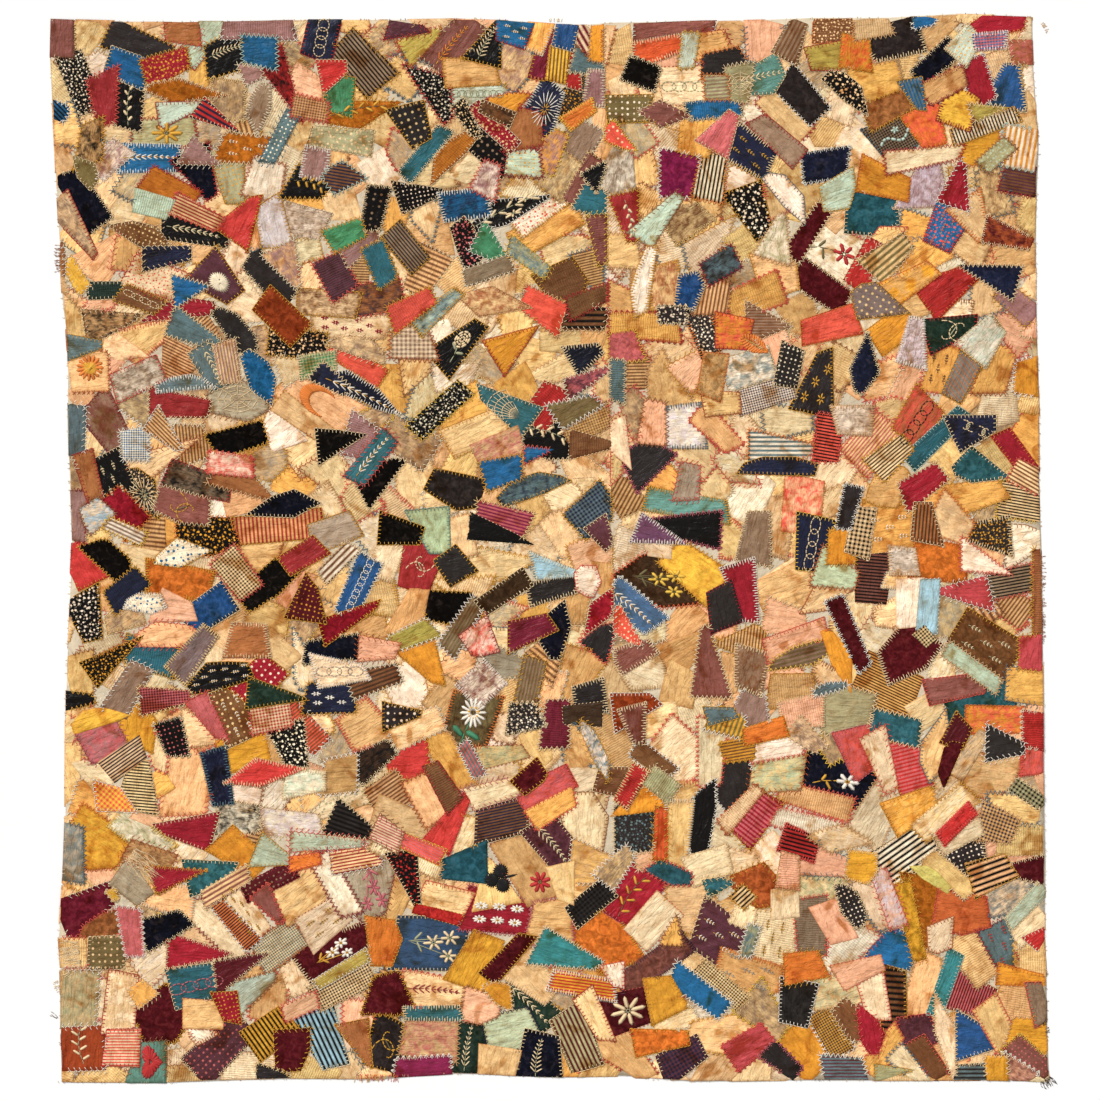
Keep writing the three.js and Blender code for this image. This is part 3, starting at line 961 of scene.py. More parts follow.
1184 1234 88 42 -15 kite ivory+straw.mottle
1124 1245 52 38 -15 black+red.stripe coral.brush
1338 1198 110 36 40 ivory+straw.mottle gold.zigzag
1284 1256 94 54 35 black+white.stripe cream
1364 1232 80 30 25 wedge ivory cream
1354 1218 74 14 42 red coral.brush
1364 1268 78 50 20 coal+white.dots cream.brush
1420 1222 64 54 -20 wedge camel+navy.check
1444 1189 68 38 -5 straw
1464 1168 54 16 -35 sage+black.check
1458 1240 66 50 0 straw.rib cream.dotted
1428 1320 76 56 30 pent ivory+slate.mottle
1410 1292 70 44 20 black+peach.stripe gold
1462 1282 64 42 180 tri maroon.velvet cream.crowfoot
1464 1370 62 46 40 ivory
1462 1338 78 14 48 aqua cream
1060 1309 72 68 -35 lens rust.velvet gold.feather
1058 1308 64 19 42 black+cream.stripe
1166 1272 80 44 -10 wedge blush
1222 1278 50 46 0 pent gold cream.crowfoot
1148 1304 64 52 -40 sage+cream.mottle
1138 1362 82 38 88 taupe.rib
1174 1362 66 48 -60 wedge blush
1108 1286 56 28 88 blush.rib
1104 1336 48 34 90 ivory
1232 1330 82 40 -60 wedge ivory
1198 1336 80 36 -65 lens coal+white.dots cream.crowfoot
1254 1322 98 30 -70 lavender+blush.mottle
1342 1286 104 26 -40 straw cream.zigzag
1316 1292 78 22 -30 lens lime
1310 1344 120 50 -85 tri ochre.velvet gold.feather
1289 1360 126 22 -75 gold.velvet gold.feather
1368 1348 76 58 -10 pent rust coral
1336 1380 54 46 60 kite ivory rust
1264 1398 74 60 165 pent blue cream
1388 1412 82 50 -60 wedge straw.rib
1307 1456 92 46 75 peach
1344 1450 114 20 70 lagoon aqua
1428 1396 76 54 -65 wedge slate ruby.herring red.sprigs
1482 1380 36 22 40 tri red
1472 1410 54 44 0 straw.rib
1454 1442 70 36 -5 wedge amber orange
1448 1484 52 44 80 tan.rib
1480 1482 64 20 -75 taupe
1382 1470 78 50 -20 maroon+rose.bars cream
1416 1506 78 40 -65 wedge straw coral
1466 1532 56 38 -5 gold
1468 1563 66 36 -40 wedge rosewood+rose.dots
1446 1582 50 36 -30 wedge rosewood+blush.mottle
1392 1540 80 64 0 tri royal cream
1417 1582 34 24 90 gold
1386 1588 50 18 0 slate+coal.stripe
1344 1532 102 34 -75 kite ivory cream.zigzag
1266 1475 88 28 86 brown+black.bars gold
1298 1522 60 54 10 pent plum.velvet coral
1314 1564 72 32 -55 wedge brown coral
1288 1574 64 26 -45 wedge ivory
1252 1550 90 42 60 wedge honey coral
1256 1586 36 24 0 tri sage
1216 1432 84 40 15 wedge blush coral.dotted
1190 1404 86 40 50 white.rib
1182 1462 76 40 15 mint+straw.mottle
1236 1470 74 42 -80 wedge ivory coral
1198 1508 68 52 -45 pent brown cream.feather
1229 1529 74 40 -80 lens ruby coral.feather
1172 1530 80 44 -60 navy+gold.check
1186 1578 62 34 0 plum+slate.stripe
1133 1429 58 48 10 orange gold.feather
1084 1386 68 54 80 ivory.rib - gold.sprigs
1050 1392 52 18 75 slate+sage.mottle
1044 1436 94 66 -25 pent camel orange.brush stone.sprigs
1072 1498 80 48 -45 wedge taupe+sand.mottle
1118 1484 62 44 85 coal+black.mottle white
1132 1554 76 58 -50 amber gold
1006 1528 98 58 0 pent straw+sand.mottle
1049 1546 68 52 25 pent cerise coral.crowfoot
1099 1572 66 36 -45 wedge coal rose.crowfoot
989 1102 106 36 88 ivory coral.cross
936 1108 84 76 40 ivory
849 1088 88 52 -60 tan.rib
876 1064 70 38 -80 wedge rosewood cream.brush
822 1106 94 22 -65 lens slate+white.mottle
674 1112 68 24 10 wedge sage+straw.mottle red.dotted
1018 1062 56 30 -20 olive+gold.bars
1034 1104 52 42 10 brown+gold.stripe"""

# Dyed colours, as they have aged, in sRGB hexadecimals.
DYES = {
    "amber": 0xC98A2E, "aqua": 0xAEBFB0, "black": 0x0D0B0A, "blue": 0x1F5C8F,
    "blush": 0xD9A98C, "brick": 0x8E2A2E, "brown": 0x6E4A2E, "burgundy": 0x6A1C30,
    "camel": 0xC29A66, "cerise": 0xB5464E, "coal": 0x282425, "coral": 0xCF5446,
    "cream": 0xDDC297, "denim": 0x4A6A94, "dove": 0xBDB09B, "dusk": 0x6F6062,
    "forest": 0x22352E, "gold": 0xC99431, "green": 0x3E7A58, "honey": 0xD9A75C,
    "indigo": 0x2E4668, "ink": 0x101322, "ivory": 0xDCCBAC, "lagoon": 0x37808A,
    "lavender": 0xC9BECB, "lime": 0xD3C878, "magenta": 0x7A1F48, "maroon": 0x4E141C,
    "mauve": 0x8E6C6C, "mint": 0xA9B89C, "moss": 0xA99A4E, "navy": 0x1C213A,
    "ochre": 0xA8641F, "olive": 0x6A5E3C, "orange": 0xCE7430, "peach": 0xDDB184,
    "petrol": 0x2F5F6C, "plum": 0x54303B, "purple": 0x6E4668, "red": 0xAB2B2A,
    "rose": 0xB86066, "rosewood": 0x7A4B45, "royal": 0x244C82, "ruby": 0x8E1C2C,
    "russet": 0x8A3A1C, "rust": 0xAE5A30, "sage": 0x9F9E7C, "sand": 0xCDB083,
    "scarlet": 0xBE3A38, "sienna": 0x96603A, "sky": 0x8FB4CC, "slate": 0x586F77,
    "stone": 0x9C9282, "straw": 0xDDBD84, "tan": 0xCBA273, "taupe": 0x84705E,
    "teal": 0x285A6B, "umber": 0x3E2D1F, "verdigris": 0x5E8E88, "vermilion": 0xD2582F,
    "white": 0xE2D8C8, "yellow": 0xDDB345,
}


def pointing(angle):
    """Unit vectors that point at one angle or many, in radians anticlockwise from the right."""
    return np.stack([np.cos(angle), np.sin(angle)], axis=-1)


def left_of(way):
    """A way turned a quarter to the left: its up, changed in sign, and then its across."""
    return np.stack([-way[..., 1], way[..., 0]], axis=-1)


# Each cut's corners as shares of its length and width, anticlockwise. A
# wedge, a triangle and a kite point along the length, and a lens is a half
# moon. None is for a motif that has no charted scrap of its own.
CUTS = {
    "box": ((-0.5, -0.5), (0.5, -0.5), (0.5, 0.5), (-0.5, 0.5)),
    "wedge": ((-0.5, -0.5), (0.5, -0.27), (0.5, 0.27), (-0.5, 0.5)),
    "tri": ((-0.5, -0.5), (0.5, -0.03), (0.5, 0.03), (-0.5, 0.5)),
    "kite": ((-0.5, -0.04), (-0.1, -0.5), (0.5, 0), (-0.1, 0.5), (-0.5, 0.04)),
    "pent": ((-0.5, -0.42), (0.15, -0.5), (0.5, -0.2), (0.4, 0.5), (-0.5, 0.4)),
    "lens": ((-0.5, -0.3), (0.1, -0.42), (0.5, -0.2), (0.46, 0.1), (0.16, 0.5),
             (-0.2, 0.44), (-0.5, -0.1)),
    "round": 0.5 * pointing(np.arange(12) * math.pi / 6),
    "none": (),
}
CHART_MIDDLE_X = 748.0
CHART_MIDDLE_Y = 800.0
CORNER_UNEVENNESS = 0.15
CHARTED_GROWTH = 1.5
CELL = 2.5
GRID_MARGIN = 30
chance = np.random.default_rng(1885)


def linear_colour(name):
    """Linear red, green and blue of a dye."""
    code = DYES[name]
    shares = np.array([code >> 16, code >> 8 & 255, code & 255]) / 255
    return np.where(shares > 0.04045, ((shares + 0.055) / 1.055) ** 2.4, shares / 12.92)


def hull(points):
    """The convex outline of a few points, anticlockwise, walked from the leftmost."""
    ordered = sorted(map(tuple, points))
    outline = []
    for chain in (ordered, ordered[::-1]):
        start = len(outline)
        for point in chain:
            while len(outline) >= start + 2:
                (ax, ay), (bx, by) = outline[-2:]
                if (bx - ax) * (point[1] - ay) - (by - ay) * (point[0] - ax) > 0:
                    break
                outline.pop()
            outline.append(point)
        outline.pop()
    return np.array(outline)


class Patch:
    """One scrap: its outline on the quilt, its cloth, its seam stitch and its motif."""

    def __init__(self, centre, length, width, turn, cut, cloth, seam="-", motif="-"):
        self.centre = np.array(centre, dtype=float)
        self.length = length
        self.width = width
        self.along = pointing(math.radians(turn))
        self.across = left_of(self.along)
        self.dyes, _, weave = cloth.partition(".")
        self.weave = weave or "silk"
        self.seam = seam
        self.motif = motif
        self.lot = chance.random()
        self.most_growth = CHARTED_GROWTH
        self.corners = self.outline(np.array(CUTS[cut])) if len(CUTS[cut]) else None

    def outline(self, shares):
        """The cut's corners, each a little off its place, at size, turned and put in place."""
        local = shares * (self.length, self.width)
        slack = CORNER_UNEVENNESS * min(self.length, self.width) + 1.0
        local = local + chance.uniform(-slack, slack, local.shape)
        return hull(self.centre + local[:, :1] * self.along + local[:, 1:] * self.across)

    def own_chance(self, use):
        """Random numbers that hang on this scrap's lot alone, another run for each use."""
        return np.random.default_rng(int(self.lot * 1e6) + use)

    def colours(self):
        """Its two dyes, with the small differences that no two dye lots lack."""
        names = self.dyes.split("+")
        lot = self.own_chance(0)
        shift = 1 + lot.uniform(-0.15, 0.13) + lot.uniform(-0.04, 0.04, 3)
        return linear_colour(names[0]) * shift, linear_colour(names[-1]) * shift


def clipped(corners, normal, reach):
    """The part of a convex outline where its place along normal is at most reach."""
    place = corners @ normal - reach
    kept = []
    for here, there, a, b in zip(corners, np.roll(corners, -1, axis=0), place, np.roll(place, -1)):
        if a <= 0:
            kept.append(here)
        if (a < 0 < b) or (b < 0 < a):
            kept.append(here + (there - here) * a / (a - b))
    return np.array(kept) if len(kept) > 2 else None


def trimmed_to_quilt(patch):
    """Cuts a patch along the quilt's four uneven edges, give or take a millimetre or two."""
    corners = patch.corners
    for table, column, axis, sign in ((LONG_EDGES, 1, 0, -1), (LONG_EDGES, 2, 0, 1),
                                      (SHORT_EDGES, 1, 1, -1), (SHORT_EDGES, 2, 1, 1)):
        if corners is None:
            return None
        ends = np.zeros((2, 2))
        ends[:, 1 - axis] = corners[:, 1 - axis].min(), corners[:, 1 - axis].max()
        ends[:, axis] = edge_at(table, column, ends[:, 1 - axis]) + sign * chance.uniform(-0.4, 2.2)
        normal = left_of(ends[1] - ends[0]) / np.linalg.norm(ends[1] - ends[0])
        normal = normal * sign * np.sign(normal[axis])
        corners = clipped(corners, normal, ends[0] @ normal)
    return corners


def chart_patches():
    """The charted scraps, and the motifs that have no charted scrap of their own."""
    patches, marks = [], []
    for line in CHART.strip().splitlines():
        words = line.split()
        if words[5] not in CUTS:
            words.insert(5, "box")
        across, down, length, width, turn = [float(word) for word in words[:5]]
        centre = (across - CHART_MIDDLE_X, CHART_MIDDLE_Y - down)
        patch = Patch(centre, length, width, turn, *words[5:])
        if patch.corners is None:
            marks.append(patch)
        else:
            patches.append(patch)
    return patches, marks


grid_x = np.arange(-HALF_WIDTH - GRID_MARGIN, HALF_WIDTH + GRID_MARGIN, CELL)
grid_y = np.arange(-HALF_LENGTH - GRID_MARGIN, HALF_LENGTH + GRID_MARGIN, CELL)


def window_of(corners, spare=3):
    """Slices of the grid of cells that an outline lies in."""
    low = np.floor((corners.min(axis=0) - (grid_x[0], grid_y[0])) / CELL).astype(int) - spare
    high = np.ceil((corners.max(axis=0) - (grid_x[0], grid_y[0])) / CELL).astype(int) + spare
    low = np.maximum(low, 0)
    return slice(low[1], high[1] + 1), slice(low[0], high[0] + 1)


def depth_inside(corners, x, y):
    """How far each point lies inside a convex outline: its least distance to an edge line."""
    run = np.roll(corners, -1, axis=0) - corners
    run = run / np.maximum(np.linalg.norm(run, axis=1, keepdims=True), 1e-6)
    depth = np.full(np.shape(x), np.inf)
    for (ax, ay), (rx, ry) in zip(corners, run):
        depth = np.minimum(depth, rx * (y - ay) - ry * (x - ax))
    return depth


def read_cells(cells, x, y, first_x=grid_x[0], first_y=grid_y[0]):
    """Smooth reading of a grid of cells at points: in proportion between the four nearest."""
    across = np.clip((x - first_x) / CELL, 0, cells.shape[1] - 1.001)
    up = np.clip((y - first_y) / CELL, 0, cells.shape[0] - 1.001)
    column, row = across.astype(int), up.astype(int)
    u, v = across - column, up - row
    low = cells[row, column] * (1 - u) + cells[row, column + 1] * u
    high = cells[row + 1, column] * (1 - u) + cells[row + 1, column + 1] * u
    return low * (1 - v) + high * v


# Between the charted scraps lie plain ones of pale silk and cotton, one
# wherever the chart leaves room. Every scrap is then let out to its seams.
GROUND_CLOTHS = (
    "cream", "ivory", "straw", "cream.damask", "cream.rib", "sand", "tan", "ivory+sand.mottle",
    "straw+camel.mottle", "straw", "stone+sand.mottle", "white+cream.mottle", "honey", "peach",
    "camel", "cream+tan.mottle", "blush", "ivory.rib", "tan+brown.bars", "cream", "straw.rib",
    "ivory", "taupe+sand.mottle", "white", "cream",
)
GROUND_CUTS = ("box", "wedge", "tri", "wedge", "tri", "kite", "box")
CANDIDATE_PITCH = 16
LEAST_GAP = 6.0
GROUND_SPACING = 47.0
LEAST_GROUND_SIZE = 34.0
MOST_GROUND_SIZE = 70.0
UNDERLAY_PITCH = 75.0
UNDERLAY_SIZES = (95, 130)
FARTHEST_GROWTH = 45.0
GROUND_GROWTH = 28.0
FEWEST_CELLS = 12
SEAM_SHARE = 0.985
SEAM_OVERLAP = 3.0
GROUND_LAID_EARLIER = 4.0
LEAST_VISIBLE = 220.0
SEAM_ALLOWANCE = 6.0
ALLOWANCE_DIRECTIONS = 12
# The quilt was pieced in two widths, joined by one long seam from the top to
# below the middle. No scrap above its foot crosses it.
JOIN_TOP_X = 80.0
JOIN_FOOT_X = 98.0
JOIN_FOOT_Y = -197.0
JOIN_LAP = 1.0


def ground_patch(place, smallest, largest):
    """A pale scrap of a seeded cut and cloth."""
    length = chance.uniform(smallest, largest)
    width = length * chance.uniform(0.5, 0.85)
    cloth = GROUND_CLOTHS[chance.integers(len(GROUND_CLOTHS))]
    cut = GROUND_CUTS[chance.integers(len(GROUND_CUTS))]
    patch = Patch(place, length, width, chance.uniform(0, 360), cut, cloth)
    patch.most_growth = GROUND_GROWTH
    return patch


def net_of_places(pitch):
    """Points near those of a square net over the quilt, in a shuffled order."""
    columns = np.arange(-HALF_WIDTH, HALF_WIDTH + pitch, pitch)
    rows = np.arange(-HALF_LENGTH, HALF_LENGTH + pitch, pitch)
    places = np.array([(x, y) for y in rows for x in columns], dtype=float)
    return chance.permutation(places + chance.uniform(-0.3, 0.3, places.shape) * pitch)


def nearest_patches(patches, farthest):
    """For each cell, the patch whose outline it lies deepest inside, or else is nearest to,
    and that depth. Cells farther off than farthest have none, which is -1."""
    owner = np.full((len(grid_y), len(grid_x)), -1)
    best = np.full(owner.shape, -farthest)
    for index, patch in enumerate(patches):
        rows, columns = window_of(patch.corners, int(farthest / CELL))
        x, y = np.meshgrid(grid_x[columns], grid_y[rows])
        depth = depth_inside(patch.corners, x, y)
        deeper = depth > best[rows, columns]
        best[rows, columns][deeper] = depth[deeper]
        owner[rows, columns][deeper] = index
    return owner, best


def gap_patches(charted):
    """A ground scrap at each candidate place that is clear of the chart and of the others."""
    _, depth = nearest_patches(charted, FARTHEST_GROWTH)
    chosen = []
    for place in net_of_places(CANDIDATE_PITCH):
        clear = -read_cells(depth, place[:1], place[1:])[0]
        apart = min((math.dist(place, other.centre) for other in chosen), default=1e9)
        if clear > LEAST_GAP and apart > GROUND_SPACING:
            size = min(MOST_GROUND_SIZE, LEAST_GROUND_SIZE + clear)
            # Unbleached plain weave, puckered by the seams, with faint brown age clouds. The puckers are
            # also painted lighter and darker, as painted shade.
            chosen.append(ground_patch(place, 0.85 * size, 1.15 * size))
    return chosen


def own_cells(owners, index, corners, spare=3):
    """Places of the cells, in and near an outline, that belong to one patch."""
    rows, columns = window_of(corners, spare)
    # Painted shade of the puckers: the colour follows the same noise as their bump.
    row, column = np.nonzero(owners[rows, columns] == index)
    return np.stack([grid_x[columns][column], grid_y[rows][row]], axis=1)


def let_out(patches):
    """Moves each patch's own edges out, or in, to the far side of the cells nearest to it."""
    owner, _ = nearest_patches(patches, FARTHEST_GROWTH)
    for index, patch in enumerate(patches):
        own = own_cells(owner, index, patch.corners, int(FARTHEST_GROWTH / CELL))
        if len(own) < FEWEST_CELLS:
            patch.corners = None
            continue
        normals = -left_of(np.roll(patch.corners, -1, axis=0) - patch.corners)
        normals = normals / np.linalg.norm(normals, axis=1, keepdims=True)
        outline = np.array([(-1, -1), (1, -1), (1, 1), (-1, 1)]) * 3 * patch.length
        outline = outline + patch.corners.mean(axis=0)
        for corner, normal in zip(patch.corners, normals):
            reach = np.quantile(own @ normal, SEAM_SHARE)
            reach = min(reach, corner @ normal + patch.most_growth) + SEAM_OVERLAP
            outline = clipped(outline, normal, reach)
        if patch.centre[1] > JOIN_FOOT_Y:
            join = np.interp(patch.centre[1], (JOIN_FOOT_Y, HALF_LENGTH), (JOIN_FOOT_X, JOIN_TOP_X))
            side = 1.0 if patch.centre[0] > join else -1.0
            outline = clipped(outline, np.array([-side, 0.0]), JOIN_LAP - side * join)
        patch.corners = outline
    return [patch for patch in patches if patch.corners is not None]


def area_of(corners):
    following = np.roll(corners, -1, axis=0)
    return 0.5 * abs(np.sum(corners[:, 0] * following[:, 1] - following[:, 0] * corners[:, 1]))


def top_patches(patches):
    """For each cell, the index of the patch that shows there, or -1."""
    shown = np.full((len(grid_y), len(grid_x)), -1)
    for index, patch in enumerate(patches):
        rows, columns = window_of(patch.corners)
        x, y = np.meshgrid(grid_x[columns], grid_y[rows])
        shown[rows, columns][depth_inside(patch.corners, x, y) > 0] = index
    return shown


def without_hidden(patches):
    """Leaves out the patches of which too little shows."""
    shown = top_patches(patches)
    cells = np.bincount(shown[shown >= 0], minlength=len(patches))
    return [patch for patch, count in zip(patches, cells) if count * CELL * CELL > LEAST_VISIBLE]


def trimmed_to_seams(patches):
    """Cuts away what lies further under other patches than a seam allowance."""
    shown = top_patches(patches)
    for index, patch in enumerate(patches):
        seen = own_cells(shown, index, patch.corners)
        for turn in np.arange(ALLOWANCE_DIRECTIONS) * 2 * math.pi / ALLOWANCE_DIRECTIONS:
            normal = pointing(turn)
            reach = (seen @ normal).max() + SEAM_ALLOWANCE
            patch.corners = clipped(patch.corners, normal, reach)


charted, loose_marks = chart_patches()
patches = let_out(charted + gap_patches(charted))
patches.sort(key=lambda patch: -area_of(patch.corners) * (0.8 + 0.4 * patch.lot)
             * (GROUND_LAID_EARLIER if patch.most_growth == GROUND_GROWTH else 1))
underlay = [ground_patch(place, *UNDERLAY_SIZES) for place in net_of_places(UNDERLAY_PITCH)]
patches = underlay + patches
for patch in patches:
    patch.corners = trimmed_to_quilt(patch)
patches = [patch for patch in patches if patch.corners is not None]
for _ in range(2):
    patches = without_hidden(patches)
trimmed_to_seams(patches)
shown_patch = top_patches(patches)

# Laid on one another in this order, the scraps make a low relief. Each has its
# edges turned under, sags over what lies below it and has creases of its own.
PATCH_THICKNESS = 0.55
TURNED_EDGE = 9.0
CREASE_PITCH = (13, 30)
# How deep the creases of each cloth are, in millimetres.
CREASE_DEPTHS = {"silk": 0.62, "rib": 0.42, "velvet": 0.22, "damask": 0.5, "mottle": 0.5,
                 "sprig": 0.35, "dots": 0.3, "stripe": 0.35, "bars": 0.3, "check": 0.3}
BARE_FLOOR = 0.2
LEAST_LIFT = 0.2


def spread(height, radius=2):
    """The heights as a cloth laid over them would take: each cell rises to its highest
    neighbour within the radius, and the result is averaged over the same radius."""
    steps = range(2 * radius + 1)
    rows, columns = height.shape
    padded = np.pad(height, radius, mode="edge")
    highest = np.maximum.reduce([padded[step:step + rows] for step in steps])
    highest = np.maximum.reduce([highest[:, step:step + columns] for step in steps])
    padded = np.pad(highest, radius, mode="edge")
    mean = sum(padded[step:step + rows] for step in steps) / len(steps)
    return sum(mean[:, step:step + columns] for step in steps) / len(steps)


def creases(patch, x, y):
    """Soft troughs and ridges: waves that drift across the scrap three ways and fade."""
    lot = patch.own_chance(1)
    dx, dy = x - patch.centre[0], y - patch.centre[1]
    total = np.zeros(np.shape(x))
    for _ in range(3):
        across, up = pointing(lot.uniform(0, math.pi))
        pitch = lot.uniform(*CREASE_PITCH)
        along, aside = dx * across + dy * up, dy * across - dx * up
        bend = 0.35 * pitch * np.sin(aside / (1.1 * pitch) + lot.uniform(0, 6))
        fade = np.exp(-(along / lot.uniform(18, 40) + lot.uniform(-0.6, 0.6)) ** 2)
        total = total + fade * np.cos(2 * math.pi * (along + bend) / pitch + lot.uniform(0, 6))
    return total * CREASE_DEPTHS[patch.weave] * lot.uniform(0.5, 1.5)


x, y = np.meshgrid(grid_x, grid_y)
room_to_edge = np.minimum.reduce([
    x - edge_at(LONG_EDGES, 1, y), edge_at(LONG_EDGES, 2, y) - x,
    y - edge_at(SHORT_EDGES, 1, x), edge_at(SHORT_EDGES, 2, x) - y,
])
cloth_height = np.where(room_to_edge > -1, FOUNDATION_THICKNESS, BARE_FLOOR)
for patch in patches:
    patch.window = window_of(patch.corners)
    rows, columns = patch.window
    x, y = np.meshgrid(grid_x[columns], grid_y[rows])
    depth = depth_inside(patch.corners, x, y)
    below = cloth_height[rows, columns].copy()
    rounding = np.clip(depth / TURNED_EDGE, 0, 1)
    rounding = rounding * rounding * (3 - 2 * rounding)
    laid = spread(below) + PATCH_THICKNESS * (0.75 + 0.6 * rounding)
    laid = laid + creases(patch, x, y) * rounding
    patch.below = below
    patch.laid = np.maximum(laid, below + LEAST_LIFT)
    cloth_height[rows, columns] = np.where(depth > 0, patch.laid, below)


# Each scrap is a grid of faces about one mesh step wide, and its edge rolls
# under. Grain places have a unit of their own, and a shift for each lot keeps
# two scraps from showing the same part of a pattern.
MESH_STEP = 4.4
EDGE_ROLL = 1.3
EDGE_TUCK = 0.15
GRAIN_UNIT = 100
LOT_SHIFT = 40
WAVE_RADIANS = 20
MOST_QUADS = 92000


def square_rings(half):
    """A square grid from -half to half: for each point the ring it lies on, and how far round
    that ring it is as a share, anticlockwise from the lower left corner."""
    steps = np.arange(-half, half + 1)
    across, up = np.meshgrid(steps, steps)
    ring = np.maximum(abs(across), abs(up))
    safe = np.maximum(ring, 1)
    round_it = np.where(up == -ring, across + ring, 0)
    round_it = np.where((across == ring) & (up > -ring), 3 * ring + up, round_it)
    round_it = np.where((up == ring) & (across < ring), 5 * ring - across, round_it)
    round_it = np.where((across == -ring) & (up < ring) & (up > -ring), 7 * ring - up, round_it)
    return ring.ravel(), (round_it / (8 * safe)).ravel()


def patch_grid(patch):
    """Points, faces, grain places and nearness to the edge of one scrap. A square grid is
    stretched over the outline: its rings run from the middle of the scrap to its edge, where
    the cloth rolls under."""
    corners = patch.corners
    lengths = np.linalg.norm(np.roll(corners, -1, axis=0) - corners, axis=1)
    half = max(3, int(round(math.sqrt(area_of(corners)) / MESH_STEP / 2)))
    snapped = np.round(np.append(0, np.cumsum(lengths)) / lengths.sum() * 8 * half)
    for place in range(1, len(snapped)):
        snapped[place] = max(snapped[place], snapped[place - 1] + 1)
    snapped = snapped / snapped[-1]
    loop = np.concatenate([corners, corners[:1]])
    ring, around = square_rings(half)
    edge_x = np.interp(around, snapped, loop[:, 0])
    edge_y = np.interp(around, snapped, loop[:, 1])
    middle = corners.mean(axis=0)
    inner = depth_inside(corners, middle[:1], middle[1:])[0]
    reach = np.append(np.linspace(0, 1 - min(0.5, EDGE_ROLL / inner), half), 1.0)[ring]
    x = middle[0] + reach * (edge_x - middle[0])
    y = middle[1] + reach * (edge_y - middle[1])
    rows, columns = patch.window
    start = grid_x[columns][0], grid_y[rows][0]
    below = read_cells(patch.below, x, y, *start) - EDGE_TUCK
    height = np.where(ring == half, below, read_cells(patch.laid, x, y, *start))
    height = height + underside_height(x, y)
    points = np.stack([x - MIDDLE_X, y - MIDDLE_Y, height], axis=1)
    away = np.stack([x, y], axis=1) - patch.centre
    grain = np.stack([away @ patch.along, away @ patch.across], axis=1)
    faces = grid_faces(2 * half, 2 * half)[1]
    return points, faces, grain / GRAIN_UNIT + patch.lot * LOT_SHIFT, ring / half


def add_values(piece, word, values):
    """An attribute of a piece's points: a colour where values has rows, and else a number."""
    if values.ndim == 2:
        layer = piece.data.attributes.new(word, "FLOAT_COLOR", "POINT")
        rows = np.concatenate([values, np.ones((len(values), 1))], axis=1)
        layer.data.foreach_set("color", rows.astype(np.float32).ravel())
    else:
        layer = piece.data.attributes.new(word, "FLOAT", "POINT")
        layer.data.foreach_set("value", values.astype(np.float32))


def sewn_patches(name, chosen, material):
    """Joins the scraps of one cloth into as few meshes as the limit on faces allows. Each point
    carries its scrap's two dyes and its lot, and how near it is to the edge."""
    pieces = []
    waiting = [(patch, *patch_grid(patch)) for patch in chosen]
    while waiting:
        batch, quads = [], 0
        while waiting and quads + len(waiting[0][2]) < MOST_QUADS:
            batch.append(waiting.pop(0))
            quads += len(batch[-1][2])
        scraps, points, faces, grain, edges = zip(*batch)
        counts = [len(own) for own in points]
        offsets = np.cumsum([0] + counts[:-1])
        faces = np.concatenate([own + offset for own, offset in zip(faces, offsets)])
        grain = np.concatenate(grain)[faces.ravel()]
        label = name if not pieces else f"{name}_{len(pieces) + 1}"
        piece = add_piece(label, np.concatenate(points), faces, material)
        dyes = np.repeat([scrap.colours() for scrap in scraps], counts, axis=0)
        add_values(piece, "dye", dyes[:, 0])
        add_values(piece, "second_dye", dyes[:, 1])
        add_values(piece, "lot", np.repeat([scrap.lot for scrap in scraps], counts))
        add_values(piece, "edge", np.concatenate(edges))
        layer = piece.data.uv_layers.new(name="grain")
        layer.data.foreach_set("uv", grain.astype(np.float32).ravel())
        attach(piece, "root")
        pieces.append(piece)
    return pieces


def cloth_finish(name):
    """A finish with what every scrap has: its dyes, its lot, how near the edge is, and the
    place along and across its grain, in tenths of a metre."""
    finish = Finish(name)
    finish.dye = finish.attribute("dye", "Color")
    finish.second = finish.attribute("second_dye", "Color")
    finish.lot = finish.attribute("lot", "Fac")
    finish.edge = finish.attribute("edge", "Fac")
    finish.grain = finish.node("ShaderNodeUVMap", {"uv_map": "grain"}, {}, "UV")
    return finish


def bands(finish, place, direction, pitch):
    """Even waves from 0 to 1 along one way of the grain, with a pitch in millimetres. At scale
    1 a wave texture runs through twenty radians in each unit."""
    scale = 2 * math.pi / (WAVE_RADIANS * pitch / GRAIN_UNIT)
    settings = {"wave_type": "BANDS", "bands_direction": direction}
    return finish.node("ShaderNodeTexWave", settings, {"Vector": place, "Scale": scale}, "Fac")


